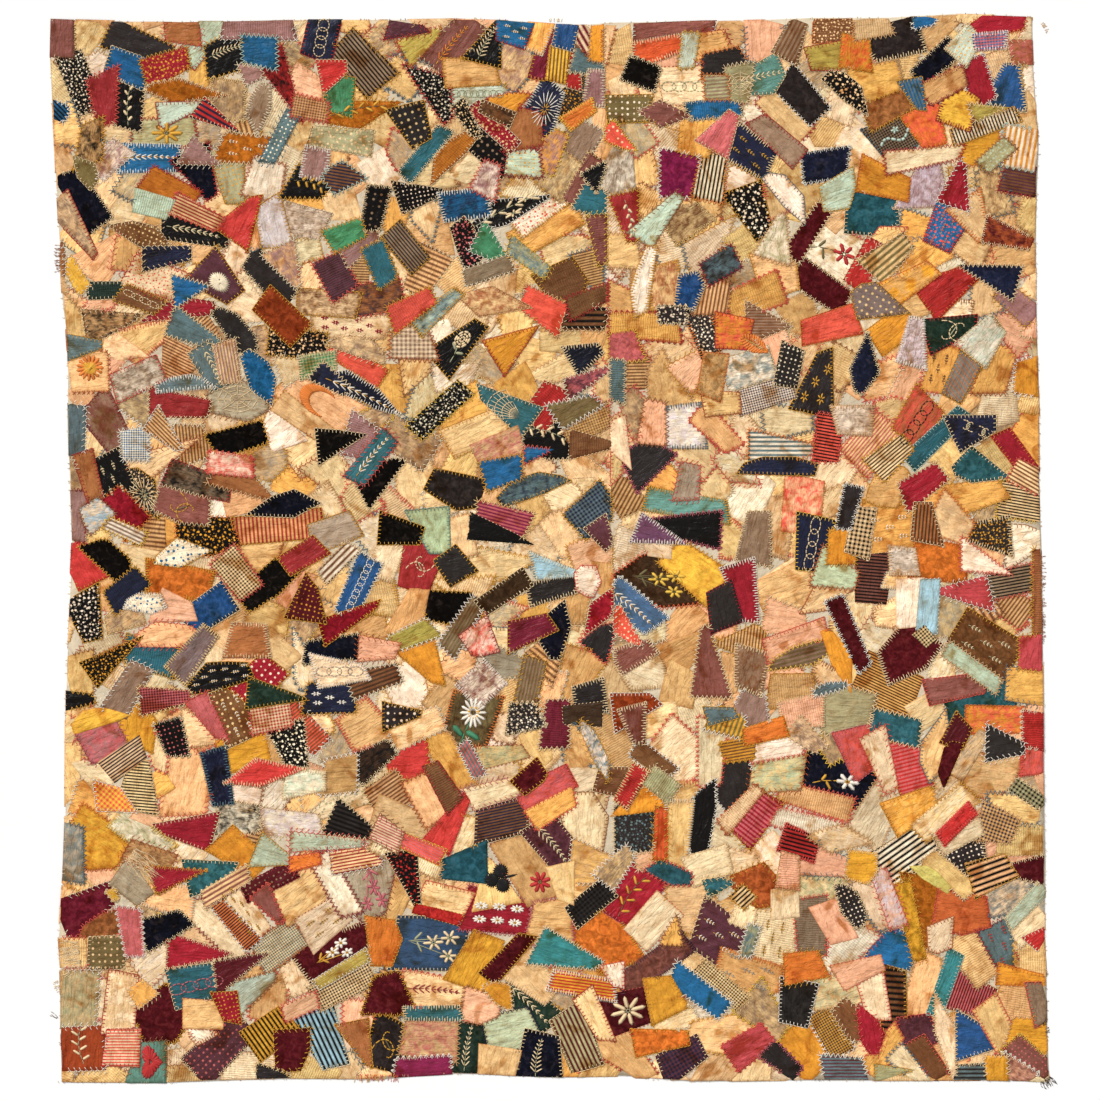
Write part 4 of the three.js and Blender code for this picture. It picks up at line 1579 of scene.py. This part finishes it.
def aged_and_shaded(finish, colour):
    """Fading in broad clouds, finer blotches of soiling and painted shade, light and dark bands of
    painted fold shading, painted shade and dirt along the seams, and tea-brown stains.
    """
    clouds = finish.ramp(finish.noise(finish.place, 16, 3), 0.3, 0.7)
    # Finer blotches: soiling, partly painted light and shade of small folds.
    soil_and_shade_blotches = finish.ramp(finish.noise(finish.place, 80, 5, 0.6), 0.3, 0.7)
    # Painted fold shading: light and dark bands along the grain, where folds would catch the lamp or lie
    # in shade.
    folds = finish.ramp(finish.noise(finish.grain, (2.6, 5), 4, 1.5), 0.35, 0.65)
    stains = finish.noise(finish.place, 24, 4, 0.8)
    grit = finish.ramp(finish.noise(finish.place, 380, 2), 0.3, 0.7)
    # Painted shade and dirt: the colour darkens towards brown near each scrap's edge, along its seams.
    seam_shade_and_dirt = finish.ramp(finish.edge, 0.74, 1.0)
    # The shade factor mixes fading in clouds, painted fold shading and fine grit.
    shade = 1.10 + 0.14 * clouds + 0.12 * folds + 0.22 * grit
    colour = finish.mix(1.0, finish.shaded(colour, shade), (1.05, 0.98, 0.87, 1), "MULTIPLY")
    brown = (0.55, 0.36, 0.20, 1)
    # Brown where the soiling, the painted fold shade and the stains are strong.
    soil_stains_and_fold_shade = 0.28 * (1 - soil_and_shade_blotches) + 0.26 * (1 - folds) + 0.7 * finish.ramp(stains, 0.54, 0.70)
    colour = finish.mix(soil_stains_and_fold_shade, colour, brown, "MULTIPLY")
    return finish.mix(0.75 * seam_shade_and_dirt, colour, brown, "MULTIPLY")


def crumpled(finish, depth):
    """Puckers a few millimetres long, finer crumpling, and folds with one sharp side."""
    puckers = finish.noise(finish.grain, (6, 11), 3, 0.8)
    lumps = finish.noise(finish.place, 60, 3, 0.5)
    folds = finish.ramp(finish.noise(finish.grain, (2.5, 13), 3, 0.6), 0.46, 0.54)
    return finish.bump(0.46 * puckers + 0.55 * lumps + 0.12 * folds, depth * MM)


# Silk scraps are plain dress taffeta and satin. The thread runs show as fine
# streaks, and the oldest silk has split along them.
def silk_finish():
    finish = cloth_finish("plain_silk")
    streaks = finish.noise(finish.grain, (2.0, 36), 2, 0.15)
    splits = finish.ramp(finish.noise(finish.grain, (2.0, 80), 3), 0.55, 0.66)
    old = finish.ramp(finish.lot, 0.35, 0.7)
    colour = aged_and_shaded(finish, finish.dye)
    colour = finish.shaded(colour, 0.86 + 0.30 * streaks)
    colour = finish.mix(0.38 * splits * old, colour, (0.62, 0.44, 0.28, 1), "MULTIPLY")
    normal = finish.bump(streaks, 0.25 * MM, 1.0, crumpled(finish, 4.6))
    roughness = 0.30 + 0.2 * streaks
    return finish.surface(colour, roughness, normal, gloss=0.14, sheen=0.01, sheen_roughness=0.4)


# Velvet scraps have a short dense pile, crushed in clouds: the crushed places bump the surface and are
# painted lighter, darker and a little browner, as painted sheen.
def velvet_finish():
    finish = cloth_finish("crushed_velvet")
    crushed_pile_and_sheen = finish.noise(finish.grain, 11, 4, 1.0)
    nap = finish.noise(finish.grain, (160, 260), 1)
    colour = aged_and_shaded(finish, finish.dye)
    # Painted sheen: the crushed clouds make the colour lighter and darker, and the brightest places a
    # little browner.
    colour = finish.shaded(colour, 0.58 + 0.68 * finish.ramp(crushed_pile_and_sheen, 0.30, 0.70))
    colour = finish.mix(0.05 * finish.ramp(crushed_pile_and_sheen, 0.52, 0.72), colour, (0.34, 0.22, 0.16, 1))
    normal = finish.bump(nap + crushed_pile_and_sheen, 0.7 * MM)
    return finish.surface(colour, 0.95, normal, gloss=0.05, sheen=0.04, sheen_roughness=0.4)


# Ribbed scraps are corded silk and crepe, with ribs across the scrap. The ribs bump the surface and are
# also painted lighter and darker, as painted shade of their relief.
def rib_finish():
    finish = cloth_finish("ribbed_silk")
    wander = finish.noise(finish.grain, 9, 2)
    bent = finish.node("ShaderNodeVectorMath", {"operation": "ADD"},
                       {0: finish.grain, 1: finish.shaded(wander, 0.045)})
    ribs = bands(finish, bent, "X", 3.4)
    fine = bands(finish, bent, "X", 1.1)
    # Painted shade: the colour follows the same ribs as the bump, lighter on their crests.
    colour = finish.shaded(aged_and_shaded(finish, finish.dye), 0.80 + 0.26 * ribs)
    normal = finish.bump(ribs + 0.3 * fine, 0.5 * MM, 1.0, crumpled(finish, 3.6))
    return finish.surface(colour, 0.62, normal, gloss=0.15, sheen=0.03)


def woven_surface(finish, colour, crumple=3.4, roughness=0.66):
    """The rest of a fine woven cloth once its pattern is there: age with painted fold and seam shade,
    weave and puckers.
    """
    weave = finish.noise(finish.grain, (150, 150), 1)
    normal = finish.bump(weave, 0.15 * MM, 1.0, crumpled(finish, crumple))
    return finish.surface(aged_and_shaded(finish, colour), roughness, normal, gloss=0.09, sheen=0.01)


def own_scale(finish, low, high):
    """The grain place, scaled by an amount that each scrap's lot sets."""
    return finish.shaded(finish.grain, low + (high - low) * finish.lot)


# Printed scraps carry little flowers scattered on a plain ground.
def blots(finish, place, scale, randomness, feature="F1", dimensions="3D"):
    """Distance from the nearest of many scattered points: low in round spots about them."""
    settings = {"feature": feature, "voronoi_dimensions": dimensions}
    values = {"Vector": place, "Scale": scale, "Randomness": randomness}
    return finish.node("ShaderNodeTexVoronoi", settings, values, "Distance")


def sprig_finish():
    finish = cloth_finish("sprigged_print")
    place = own_scale(finish, 0.8, 1.3)
    wobble = finish.noise(place, 22, 2)
    blossom = blots(finish, place, 13.0, 0.75, dimensions="2D")
    leaf = blots(finish, place, 19.0, 1.0, dimensions="2D")
    flowers = finish.ramp(blossom + 0.55 * wobble, 0.50, 0.44)
    leaves = finish.ramp(leaf + 0.35 * wobble, 0.38, 0.30)
    pale = finish.mix(0.4, finish.dye, finish.second)
    colour = finish.mix(leaves, finish.dye, pale)
    return woven_surface(finish, finish.mix(flowers, colour, finish.second))


# Spotted scraps have small round dots in staggered rows.
def dots_finish():
    finish = cloth_finish("spotted_silk")
    spot = blots(finish, own_scale(finish, 0.85, 1.4), 11.5, 0.22)
    colour = finish.mix(finish.ramp(spot, 0.24, 0.17), finish.dye, finish.second)
    return woven_surface(finish, colour, 3.4, 0.55)


def striped(finish, direction):
    """Broad stripes, each with a fine line of the ground beside it."""
    place = own_scale(finish, 1.0, 2.3)
    broad = finish.ramp(bands(finish, place, direction, 9), 0.48, 0.58)
    narrow = finish.ramp(bands(finish, place, direction, 4.5), 0.76, 0.90)
    colour = finish.mix(broad, finish.dye, finish.second)
    shade = finish.mix(0.5, finish.dye, finish.second)
    return finish.mix(narrow, colour, shade)


# Striped scraps are ribbon, with stripes along it, or dress silk cut across.
def stripe_finish():
    finish = cloth_finish("striped_ribbon")
    return woven_surface(finish, striped(finish, "Y"), 3.4, 0.55)


def bars_finish():
    finish = cloth_finish("barred_ribbon")
    return woven_surface(finish, striped(finish, "X"), 3.4, 0.55)


# Checked scraps are woven with the same stripes both ways.
def check_finish():
    finish = cloth_finish("checked_silk")
    place = own_scale(finish, 0.9, 1.7)
    along = finish.ramp(bands(finish, place, "X", 6), 0.44, 0.58)
    across = finish.ramp(bands(finish, place, "Y", 6), 0.44, 0.58)
    colour = finish.mix(0.5 * along + 0.5 * across, finish.dye, finish.second)
    return woven_surface(finish, colour, 3.2, 0.6)


# Mottled scraps are watered or shot silk, or so worn that a second colour
# comes through in patches.
def mottle_finish():
    finish = cloth_finish("mottled_silk")
    cloudy = finish.noise(finish.grain, 9, 4, 0.7)
    flecks = finish.noise(finish.grain, (16, 60), 2, 0.4)
    share = 0.85 * finish.ramp(0.7 * cloudy + 0.3 * flecks, 0.34, 0.66)
    return woven_surface(finish, finish.mix(share, finish.dye, finish.second), 4.6, 0.55)


# Damask scraps have a figure of leaves in the weave, one tone on another.
def damask_finish():
    finish = cloth_finish("figured_damask")
    figure = blots(finish, own_scale(finish, 0.9, 1.3), 4.2, 0.35, "SMOOTH_F1")
    curls = finish.noise(finish.grain, 16, 2, 2.2)
    share = finish.ramp(figure + 0.6 * curls, 0.62, 0.72)
    lighter = finish.shaded(finish.dye, 1.22)
    ground = finish.mix(0.35, finish.dye, finish.second)
    return woven_surface(finish, finish.mix(share, lighter, ground), 4.2, 0.5)


CLOTH_FINISHES = {
    "silk": silk_finish, "velvet": velvet_finish, "rib": rib_finish, "sprig": sprig_finish,
    "dots": dots_finish, "stripe": stripe_finish, "bars": bars_finish, "check": check_finish,
    "mottle": mottle_finish, "damask": damask_finish,
}
sewn_on = []
for weave, make_finish in CLOTH_FINISHES.items():
    chosen = [patch for patch in patches if patch.weave == weave]
    sewn_on += sewn_patches(f"{weave}_patches", chosen, make_finish())


# Nearly every seam is covered by a fancy stitch in silk twist or cotton floss.
# Each stitch is a run of straight bars of thread. Below are its repeat and its
# reach to either side, in millimetres, and then the bars of one repeat: place
# along the seam, as a share of the repeat, and place across it, as a share of
# the reach and positive towards the scrap, at the bar's start and at its end.
STITCHES = {
    "blanket": (5.8, 5.4, ((0, 0, 1, 0), (0.05, 0, 0.0, 1))),
    "herring": (7.4, 4.7, ((0, -1, 0.64, 1), (0.5, 1, 1.14, -1))),
    "feather": (8.8, 5.8, ((0, -0.3, 0.5, 0.3), (0.5, 0.3, 1, -0.3),
                           (0.5, 0.3, 0.12, 1.1), (1, -0.3, 0.62, -1.1))),
    "zigzag": (7.0, 4.2, ((0, -0.9, 0.5, 0.9), (0.5, 0.9, 1, -0.9))),
    "crowfoot": (8.6, 5.6, ((0.5, -0.5, 0.5, 1.1), (0.5, -0.5, 0.08, 0.7), (0.5, -0.5, 0.92, 0.7))),
    "cross": (7.4, 4.0, ((0.12, -0.9, 0.88, 0.9), (0.12, 0.9, 0.88, -0.9))),
    "brush": (8.0, 7.0, ((0.15, -0.3, 0.0, 0.8), (0.5, -0.4, 0.5, 1.2), (0.85, -0.3, 1.0, 0.8))),
    "dotted": (5.8, 1.8, ((0.25, -0.2, 0.75, 0.2),)),
}
USUAL_STITCHES = ("herring", "feather", "zigzag", "blanket", "feather", "cross", "herring", "brush",
                  "crowfoot")
THREADS_ON_DARK = ("ivory", "straw", "gold", "white", "cream", "yellow", "coral", "white")
THREADS_ON_PALE = ("coral", "tan", "gold", "camel", "rust", "cream", "coral", "slate", "sienna", "ivory")
PALE_CLOTH = 0.28
PALE_SEAMS_LEFT_PLAIN = 0.25
THREAD_WIDTH = 1.12
THREAD_UNEVENNESS = 0.35
SHOULDER = 0.22
HIGHEST_THREAD = 1.1
MOST_BARS = 16000
LOOK_ASIDE = 2.2
LEAST_ROOM = 5.0


def quilt_top(x, y):
    """Height of the patched face at any point."""
    return read_cells(cloth_height, x, y) + underside_height(x, y)


def thread_bars(starts, ends, widths):
    """Points and faces of bars of thread that lie on the quilt: each is a spindle with a
    three-cornered section, a point at either end, and a low arch between."""
    along = ends - starts
    length = np.maximum(np.linalg.norm(along, axis=1, keepdims=True), 0.01)
    aside = left_of(along) / length * widths[:, None] / 2
    near, far = starts + SHOULDER * along, ends - SHOULDER * along
    corners = [starts, near + aside, near - aside, near, far + aside, far - aside, far, ends]
    flat = np.stack(corners, axis=1)
    height = quilt_top(flat[:, :, 0], flat[:, :, 1])
    lift = np.array([-0.1, 0.1, 0.1, 0, 0.1, 0.1, 0, -0.1]) + np.zeros_like(height)
    lift[:, (3, 6)] = np.minimum(0.8 * widths, HIGHEST_THREAD)[:, None]
    points = np.concatenate([flat - (MIDDLE_X, MIDDLE_Y), (height + lift)[:, :, None]], axis=2)
    spindle = np.array([(0, 2, 3), (0, 3, 1), (0, 1, 2), (1, 3, 6), (1, 6, 4), (3, 2, 5),
                        (3, 5, 6), (2, 1, 4), (2, 4, 5), (7, 4, 6), (7, 6, 5), (7, 5, 4)])
    faces = spindle[None] + 8 * np.arange(len(starts))[:, None, None]
    return points.reshape(-1, 3), faces.reshape(-1, 3)


def thread_finish():
    """Silk twist: a soft shine, with the turns of its two strands."""
    finish = Finish("embroidery_thread")
    wear = finish.noise(finish.place, 160, 3)
    turns = finish.noise(finish.place, 1500, 1)
    colour = finish.shaded(finish.attribute("dye", "Color"), 1.02 + 0.3 * wear)
    normal = finish.bump(turns, 0.2 * MM)
    return finish.surface(colour, 0.5, normal, gloss=0.25, sheen=0.05, sheen_roughness=0.4)


thread_material = thread_finish()


def sewn_threads(name, runs):
    """Meshes of a great many bars, in as few pieces as the limit on faces allows. Each run has
    its bars' starts, ends, widths and dyes."""
    starts, ends, widths, dyes = [np.concatenate(column) for column in zip(*runs)]
    pieces = []
    for first in range(0, len(starts), MOST_BARS):
        part = slice(first, first + MOST_BARS)
        points, faces = thread_bars(starts[part], ends[part], widths[part])
        label = name if not pieces else f"{name}_{len(pieces) + 1}"
        piece = add_piece(label, points, faces, thread_material)
        add_values(piece, "dye", np.repeat(dyes[part], 8, axis=0))
        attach(piece, "root")
        pieces.append(piece)
    return pieces


def seam_bars(index, patch, kind, dye):
    """The bars of one scrap's seam stitch, on the stretches of its edge that show."""
    pitch, reach, bars = STITCHES[kind]
    starts, ends = [], []
    for corner, following in zip(patch.corners, np.roll(patch.corners, -1, axis=0)):
        length = np.linalg.norm(following - corner)
        count = int(round(length / pitch))
        if count == 0:
            continue
        run = (following - corner) / length
        inward = left_of(run)
        step = length / count
        repeats = corner + run * step * np.arange(count)[:, None]
        inside = repeats + run * step / 2 + inward * LOOK_ASIDE
        outside = inside - 2 * inward * LOOK_ASIDE
        column, row = np.rint((inside - (grid_x[0], grid_y[0])) / CELL).astype(int).T
        room = read_cells(room_to_edge, *outside.T)
        repeats = repeats[(shown_patch[row, column] == index) & (room > LEAST_ROOM)]
        for a0, c0, a1, c1 in bars:
            slack = chance.uniform(-THREAD_UNEVENNESS, THREAD_UNEVENNESS, (4, len(repeats), 1))
            starts.append(repeats + run * (a0 * step + slack[0]) + inward * (c0 * reach + slack[1]))
            ends.append(repeats + run * (a1 * step + slack[2]) + inward * (c1 * reach + slack[3]))
    if not starts:
        return None
    starts, ends = np.concatenate(starts), np.concatenate(ends)
    colour = linear_colour(dye) * chance.uniform(0.85, 1.12, (len(starts), 1))
    return starts, ends, THREAD_WIDTH * chance.uniform(0.85, 1.2, len(starts)), colour


seams = {kind: [] for kind in STITCHES}
for index, patch in enumerate(patches):
    if patch.seam == "-":
        kind = USUAL_STITCHES[chance.integers(len(USUAL_STITCHES))]
        pale = patch.colours()[0].mean() > PALE_CLOTH
        threads = THREADS_ON_PALE if pale else THREADS_ON_DARK
        dye = threads[chance.integers(len(threads))]
        if pale and chance.random() < PALE_SEAMS_LEFT_PLAIN:
            continue
    else:
        dye, _, kind = patch.seam.partition(".")
        kind = kind or "blanket"
    bars = seam_bars(index, patch, kind, dye)
    if bars is not None:
        seams[kind].append(bars)
for kind, runs in seams.items():
    sewn_on += sewn_threads(f"{kind}_stitches", runs)


# The quilt's edges are only turned and tacked, and threads have come loose
# all along them. In a few places the silk has gone to a fringe.
LOOSE_WIDTH = 0.8
LOOSE_PITCH = 36
LOOSE_DYES = ("tan", "cream", "sand", "brown", "cream", "camel")
# Middle of each worn place, its spread, how many threads, their length in
# millimetres, the way they point in degrees, and their dye.
WORN_PLACES = (
    (-733, 436, 44, 22, 9, 180, "sienna"), (-703, -610, 42, 70, 28, 188, "cream"),
    (-735, -655, 20, 8, 8, 200, "cream"), (737, -75, 128, 46, 7, 0, "sienna"),
    (-258, -789, 66, 26, 11, 268, "coral"), (-262, -789, 60, 18, 11, 275, "yellow"),
    (744, -795, 18, 16, 15, 300, "umber"), (741, -720, 20, 8, 9, 20, "umber"),
    (-738, -706, 4, 3, 12, 150, "taupe"), (740, 780, 24, 10, 6, 30, "tan"),
    (-630, -458, 26, 44, 52, 318, "cream"), (8, 789, 20, 8, 6, 90, "cream"),
)


def loose_threads(x, y, spread, count, length, heading, dye):
    """Threads side by side, each of two bars with a bend between them."""
    turn = math.radians(heading)
    foot = (x, y) + left_of(pointing(turn)) * chance.uniform(-0.5, 0.5, (count, 1)) * spread
    starts, ends = [], []
    for _ in range(2):
        way = turn + chance.uniform(-0.5, 0.5, count)
        reach = length * chance.uniform(0.3, 0.7, (count, 1))
        starts.append(foot)
        foot = foot + reach * pointing(way)
        ends.append(foot)
    colours = linear_colour(dye) * chance.uniform(0.8, 1.15, (2 * count, 1))
    return np.concatenate(starts), np.concatenate(ends), np.full(2 * count, LOOSE_WIDTH), colours


places = list(WORN_PLACES)
for place in np.arange(-HALF_WIDTH + 20, HALF_WIDTH - 10, LOOSE_PITCH):
    dyes = [LOOSE_DYES[pick] for pick in chance.integers(len(LOOSE_DYES), size=4)]
    places += [
        (edge_at(LONG_EDGES, 1, place) + 1, place, LOOSE_PITCH, 3, 4, 180, dyes[0]),
        (edge_at(LONG_EDGES, 2, place) - 1, place, LOOSE_PITCH, 3, 4, 0, dyes[1]),
        (place, edge_at(SHORT_EDGES, 1, place) + 1, LOOSE_PITCH, 3, 3, 270, dyes[2]),
        (place, edge_at(SHORT_EDGES, 2, place) - 1, LOOSE_PITCH, 3, 3, 90, dyes[3]),
    ]
sewn_on += sewn_threads("loose_threads", [loose_threads(*place) for place in places])


# The motifs are ordinary flowers, leaves, ferns, stars and rings, worked in
# the middle of a scrap. Each drawing is a formula that gives bars as rows of
# x, y, x, y, width and tone: places run from -1 to 1, widths are in
# millimetres, tone 1 is the stem or centre colour, and tone 2 is leaf green.
def bar_rows(starts, ends, width, tone=0):
    """One bar from each start to its end."""
    rows = np.concatenate([starts, ends], axis=1)
    return np.concatenate([rows, np.tile([width, tone], (len(rows), 1))], axis=1)


def ray_bars(count, inner, outer, width, turn=0.0, sweep=2 * math.pi, middle=(0, 0), tone=0):
    """Bars that stand on a circle and point outwards."""
    ways = pointing(turn + sweep * np.arange(count) / count)
    return bar_rows(ways * inner + middle, ways * outer + middle, width, tone)


def path_bars(points, width, tone=0):
    """Bars end to end along a line of points."""
    return bar_rows(points[:-1], points[1:], width, tone)


def ring_bars(radius, width, middle=(0, 0), count=9, tone=0):
    """Bars end to end round a circle."""
    angles = np.linspace(0, 2 * math.pi, count + 1)
    return path_bars(pointing(angles) * radius + middle, width, tone)


def fern(pairs=8, leaf=0.34, width=1.0, bend=0.12, leaf_width=1.5):
    """A bent stem with a pair of leaves at each step, shorter towards the tip."""
    t = np.linspace(0, 1, pairs + 2)
    stem = np.stack([-0.95 + 1.9 * t, bend * np.sin(math.pi * t)], axis=1)
    foot = stem[1:-1]
    size = leaf * (1.1 - 0.75 * t[1:-1])[:, None]
    leaves = [bar_rows(foot, foot + size * (0.75, side), leaf_width) for side in (-1, 1)]
    return np.concatenate([path_bars(stem, width, 1)] + leaves)


def branch():
    """A longer stem with broad single leaves, first on one side, then on the other."""
    t = np.linspace(0, 1, 9)
    stem = np.stack([-0.95 + 1.85 * t, 0.28 * np.sin(2.6 * t)], axis=1)
    foot = stem[1:-1]
    side = np.where(np.arange(len(foot)) % 2, 1.0, -1.0)
    leaf = np.stack([np.full(len(foot), 0.24), 0.42 * side], axis=1)
    return np.concatenate([path_bars(stem, 1.0, 1), bar_rows(foot, foot + leaf, 3.0)])


def blossom(petals=6, size=1.0, middle=(0, 0), width=4.0, core=0.16):
    """Broad petals round a knotted centre."""
    return np.concatenate([
        ray_bars(petals, 0.10 * size, size, width, 0.3, middle=middle),
        ring_bars(core * size, 10 * core, middle, 7, 1),
    ])


def daisy():
    """A flower of many petals with a broad centre, over a stem with two leaves."""
    stem = path_bars([(-1.0, 0.35), (-0.5, 0.2), (0.0, -0.05)], 2.0, 2)
    leaves = bar_rows([(-0.7, 0.25), (-0.45, 0.18)], [(-0.25, 0.8), (-0.75, -0.55)], 6.5, 2)
    return np.concatenate([stem, leaves, blossom(14, 0.66, (0.3, -0.12), 3.6, 0.36)])


def flower():
    """Six broad petals at the tip of a bent stem with two leaves."""
    stem = path_bars([(-0.95, -0.55), (-0.6, -0.25), (-0.2, -0.05), (0.1, 0.08)], 1.2, 1)
    leaves = bar_rows([(-0.62, -0.27), (-0.45, -0.16)], [(-0.50, 0.22), (-0.15, -0.62)], 3.2, 1)
    return np.concatenate([stem, leaves, blossom(6, 0.5, (0.38, 0.14), 4.5)])


def posy():
    """Three flowers of different sizes on stems from one point."""
    rows = []
    for place, size in (((0.45, 0.35), 0.34), ((0.5, -0.38), 0.30), ((-0.05, 0.05), 0.36)):
        rows += [path_bars([(-0.9, -0.05), place], 1.1, 1), blossom(6, size, place, 3.4)]
    leaves = bar_rows([(-0.7, 0), (-0.6, 0)], [(-0.45, 0.42), (-0.35, -0.45)], 2.8, 1)
    return np.concatenate(rows + [leaves])


def scattered(part, places, size):
    """Copies of a small drawing at a few places."""
    sizes = (size, size, size, size, 1, 1)
    return np.concatenate([part * sizes + (*place, *place, 0, 0) for place in places])


SCATTER = ((-0.62, 0.42), (-0.55, -0.48), (0.02, 0.05), (0.6, 0.46), (0.58, -0.42))


def sprigs():
    return scattered(fern(3, 0.5, 0.9, 0.1, 1.2), SCATTER, 0.30)


def rings():
    """Linked rings in a row."""
    row = [(-0.75, 0), (-0.25, 0), (0.25, 0), (0.75, 0)]
    return scattered(ring_bars(1, 1.2, count=12), row, 0.36)


def star():
    return np.concatenate([ray_bars(8, 0.08, 0.85, 4.6), ring_bars(0.1, 1.4, count=5, tone=1)])


def stars():
    return scattered(ray_bars(6, 0.1, 1.0, 1.6), SCATTER[:3] + SCATTER[4:], 0.24)


def web():
    """Spokes and rings, like a spider's web in a corner."""
    rings_of_web = [ring_bars(radius, 0.9, count=8) for radius in (0.3, 0.55, 0.8)]
    return np.concatenate([ray_bars(8, 0.05, 0.95, 0.9)] + rings_of_web)


def burst():
    return np.concatenate([ray_bars(18, 0.25, 0.85, 1.1), ray_bars(9, 0.05, 0.3, 1.1, tone=1)])


def disc(tone=0):
    """A round of padded stitches: bars through one middle."""
    return ray_bars(14, -0.5, 0.5, 4.0, sweep=math.pi, tone=tone)


def sun():
    return np.concatenate([ray_bars(15, 0.15, 0.72, 4.2), disc(1)])


def moon():
    """A crescent: bars between a wide arc and a smaller one set to one side."""
    turns = np.linspace(-2.1, 2.1, 34)
    outer = 0.8 * pointing(turns) * (-1, 1)
    inner = 0.64 * pointing(0.84 * turns) * (-1, 1) + (0.27, 0)
    return bar_rows(1.1 * inner - 0.1 * outer, 1.1 * outer - 0.1 * inner, 3.6)


def spray():
    """A branch with two blossoms beside it."""
    blossoms = scattered(blossom(width=2.6), ((0.55, 0.35), (0.1, -0.35)), 0.28)
    return np.concatenate([branch(), blossoms])


def rose():
    """Rings one inside another, over a stem with two leaves."""
    rows = [ring_bars(radius, 2.6, (0.25, 0.1), 8) for radius in (0.14, 0.28, 0.42)]
    rows.append(bar_rows([(-0.3, -0.1), (-0.4, -0.2)], [(-0.1, 0.45), (-0.15, -0.65)], 3.4, 1))
    rows.append(path_bars([(-0.9, -0.4), (-0.5, -0.25), (-0.1, 0.0)], 1.2, 1))
    return np.concatenate(rows)


def scroll():
    """Two curls joined in an S."""
    t = np.linspace(0.4, 4.6, 12)
    curl = 0.19 * t[:, None] * pointing(t)
    return np.concatenate([path_bars(curl + (0.42, 0), 1.4), path_bars(-curl - (0.42, 0), 1.4),
                           path_bars([(-0.3, -0.3), (0.3, 0.3)], 1.4, 1)])


def fan():
    """Rays from one point, with curved lines across them."""
    foot = (-0.7, 0)
    arc = pointing(np.linspace(-0.75, 0.75, 9))
    rows = [path_bars(foot + radius * arc, 1.0) for radius in (0.5, 0.8, 1.1, 1.4)]
    return np.concatenate(rows + [ray_bars(9, 0.1, 1.5, 1.0, -0.75, 1.7, foot)])


def daisies():
    """Six small daisies in two rows."""
    places = ((-0.6, 0.4), (0.0, 0.42), (0.6, 0.38), (-0.62, -0.38), (-0.02, -0.36), (0.56, -0.42))
    return scattered(blossom(9, width=2.3), places, 0.25)


def leaf():
    """One large leaf: bars slant out from its middle rib, longest at mid length."""
    t = np.linspace(0.05, 0.95, 12)
    rib = np.stack([-0.9 + 1.8 * t, 0 * t], axis=1)
    rows = [path_bars([(-1, 0), (0.95, 0)], 1.2, 1)]
    for side in (-1, 1):
        reach = np.stack([0.25 + 0 * t, side * 0.62 * np.sin(math.pi * t) ** 0.8], axis=1)
        rows.append(bar_rows(rib, rib + reach, 3.2))
    return np.concatenate(rows)


def ribbon():
    """A waved band with one blossom beside it."""
    t = np.linspace(0, 1, 9)
    rows = path_bars(np.stack([-0.9 + 1.8 * t, 0.3 * np.sin(7 * t)], axis=1), 3.4)
    return np.concatenate([rows, scattered(blossom(5, width=2.4), ((0.2, 0.5),), 0.25)])


def heart():
    """Bars from the middle to the usual heart curve of sines and cosines."""
    t = np.linspace(0, 2 * math.pi, 30)
    outline = np.stack([0.85 * np.sin(t) ** 3,
                        0.62 * np.cos(t) - 0.25 * np.cos(2 * t) - 0.1 * np.cos(3 * t)], axis=1)
    return bar_rows(0.05 * outline, outline, 5.0)


def clover():
    """Three round leaves on a stem."""
    leaves = [ray_bars(10, -0.36, 0.36, 3.6, sweep=math.pi, middle=place)
              for place in ((0.0, 0.28), (-0.28, -0.12), (0.28, -0.12))]
    return np.concatenate(leaves + [path_bars([(0, -0.1), (0.05, -0.8)], 2.4)])


def hooks():
    return scattered(scroll(), ((-0.3, 0.25), (0.3, -0.3)), 0.45)


DRAWINGS = {drawing.__name__: drawing for drawing in (
    fern, branch, sprigs, rings, star, stars, web, burst, disc, sun, moon, spray, rose, scroll,
    fan, posy, daisies, daisy, flower, leaf, ribbon, heart, clover, hooks)}
LONG_DRAWINGS = ("fern", "branch", "spray", "ribbon")
REPEATED_DRAWINGS = ("rings", "stars", "sprigs", "daisies", "hooks", "scroll")
STEM_DYES = {"cream": "sage", "white": "gold", "gold": "olive", "orange": "gold", "red": "olive",
             "coral": "sage", "ivory": "gold", "yellow": "olive"}
MOTIF_REACH = 0.47
MOTIF_THREAD = 1.35


def motif_bars(patch):
    """A scrap's drawing, at its size and turn, in its thread. Some drawings are stretched to
    the scrap's length, and small ones are repeated along it."""
    dye, drawing = patch.motif.split(".")
    rows = DRAWINGS[drawing]()
    reach = MOTIF_REACH * patch.length
    wide_reach = MOTIF_REACH * patch.width
    if drawing in REPEATED_DRAWINGS:
        count = max(1, round(reach / (1.5 * wide_reach)))
        middles = 2 * np.arange(count) + 1 - count
        rows = scattered(rows, [(middle, 0) for middle in middles], 1.0)
        rows[:, (0, 2)] = rows[:, (0, 2)] / count
    elif drawing not in LONG_DRAWINGS:
        reach = min(reach, 1.5 * wide_reach)
    wide_reach = min(wide_reach, reach)
    axes = np.array([reach * patch.along, wide_reach * patch.across])
    starts, ends = patch.centre + rows[:, :2] @ axes, patch.centre + rows[:, 2:4] @ axes
    tones = [linear_colour(name) for name in (dye, STEM_DYES.get(dye, dye), "green")]
    colours = np.array(tones)[rows[:, 5].astype(int)]
    colours = colours * chance.uniform(0.88, 1.12, (len(rows), 1))
    return starts, ends, rows[:, 4] * MOTIF_THREAD, colours


marked = [patch for patch in patches + loose_marks if patch.motif != "-"]
sewn_on += sewn_threads("embroidered_motifs", [motif_bars(patch) for patch in marked])
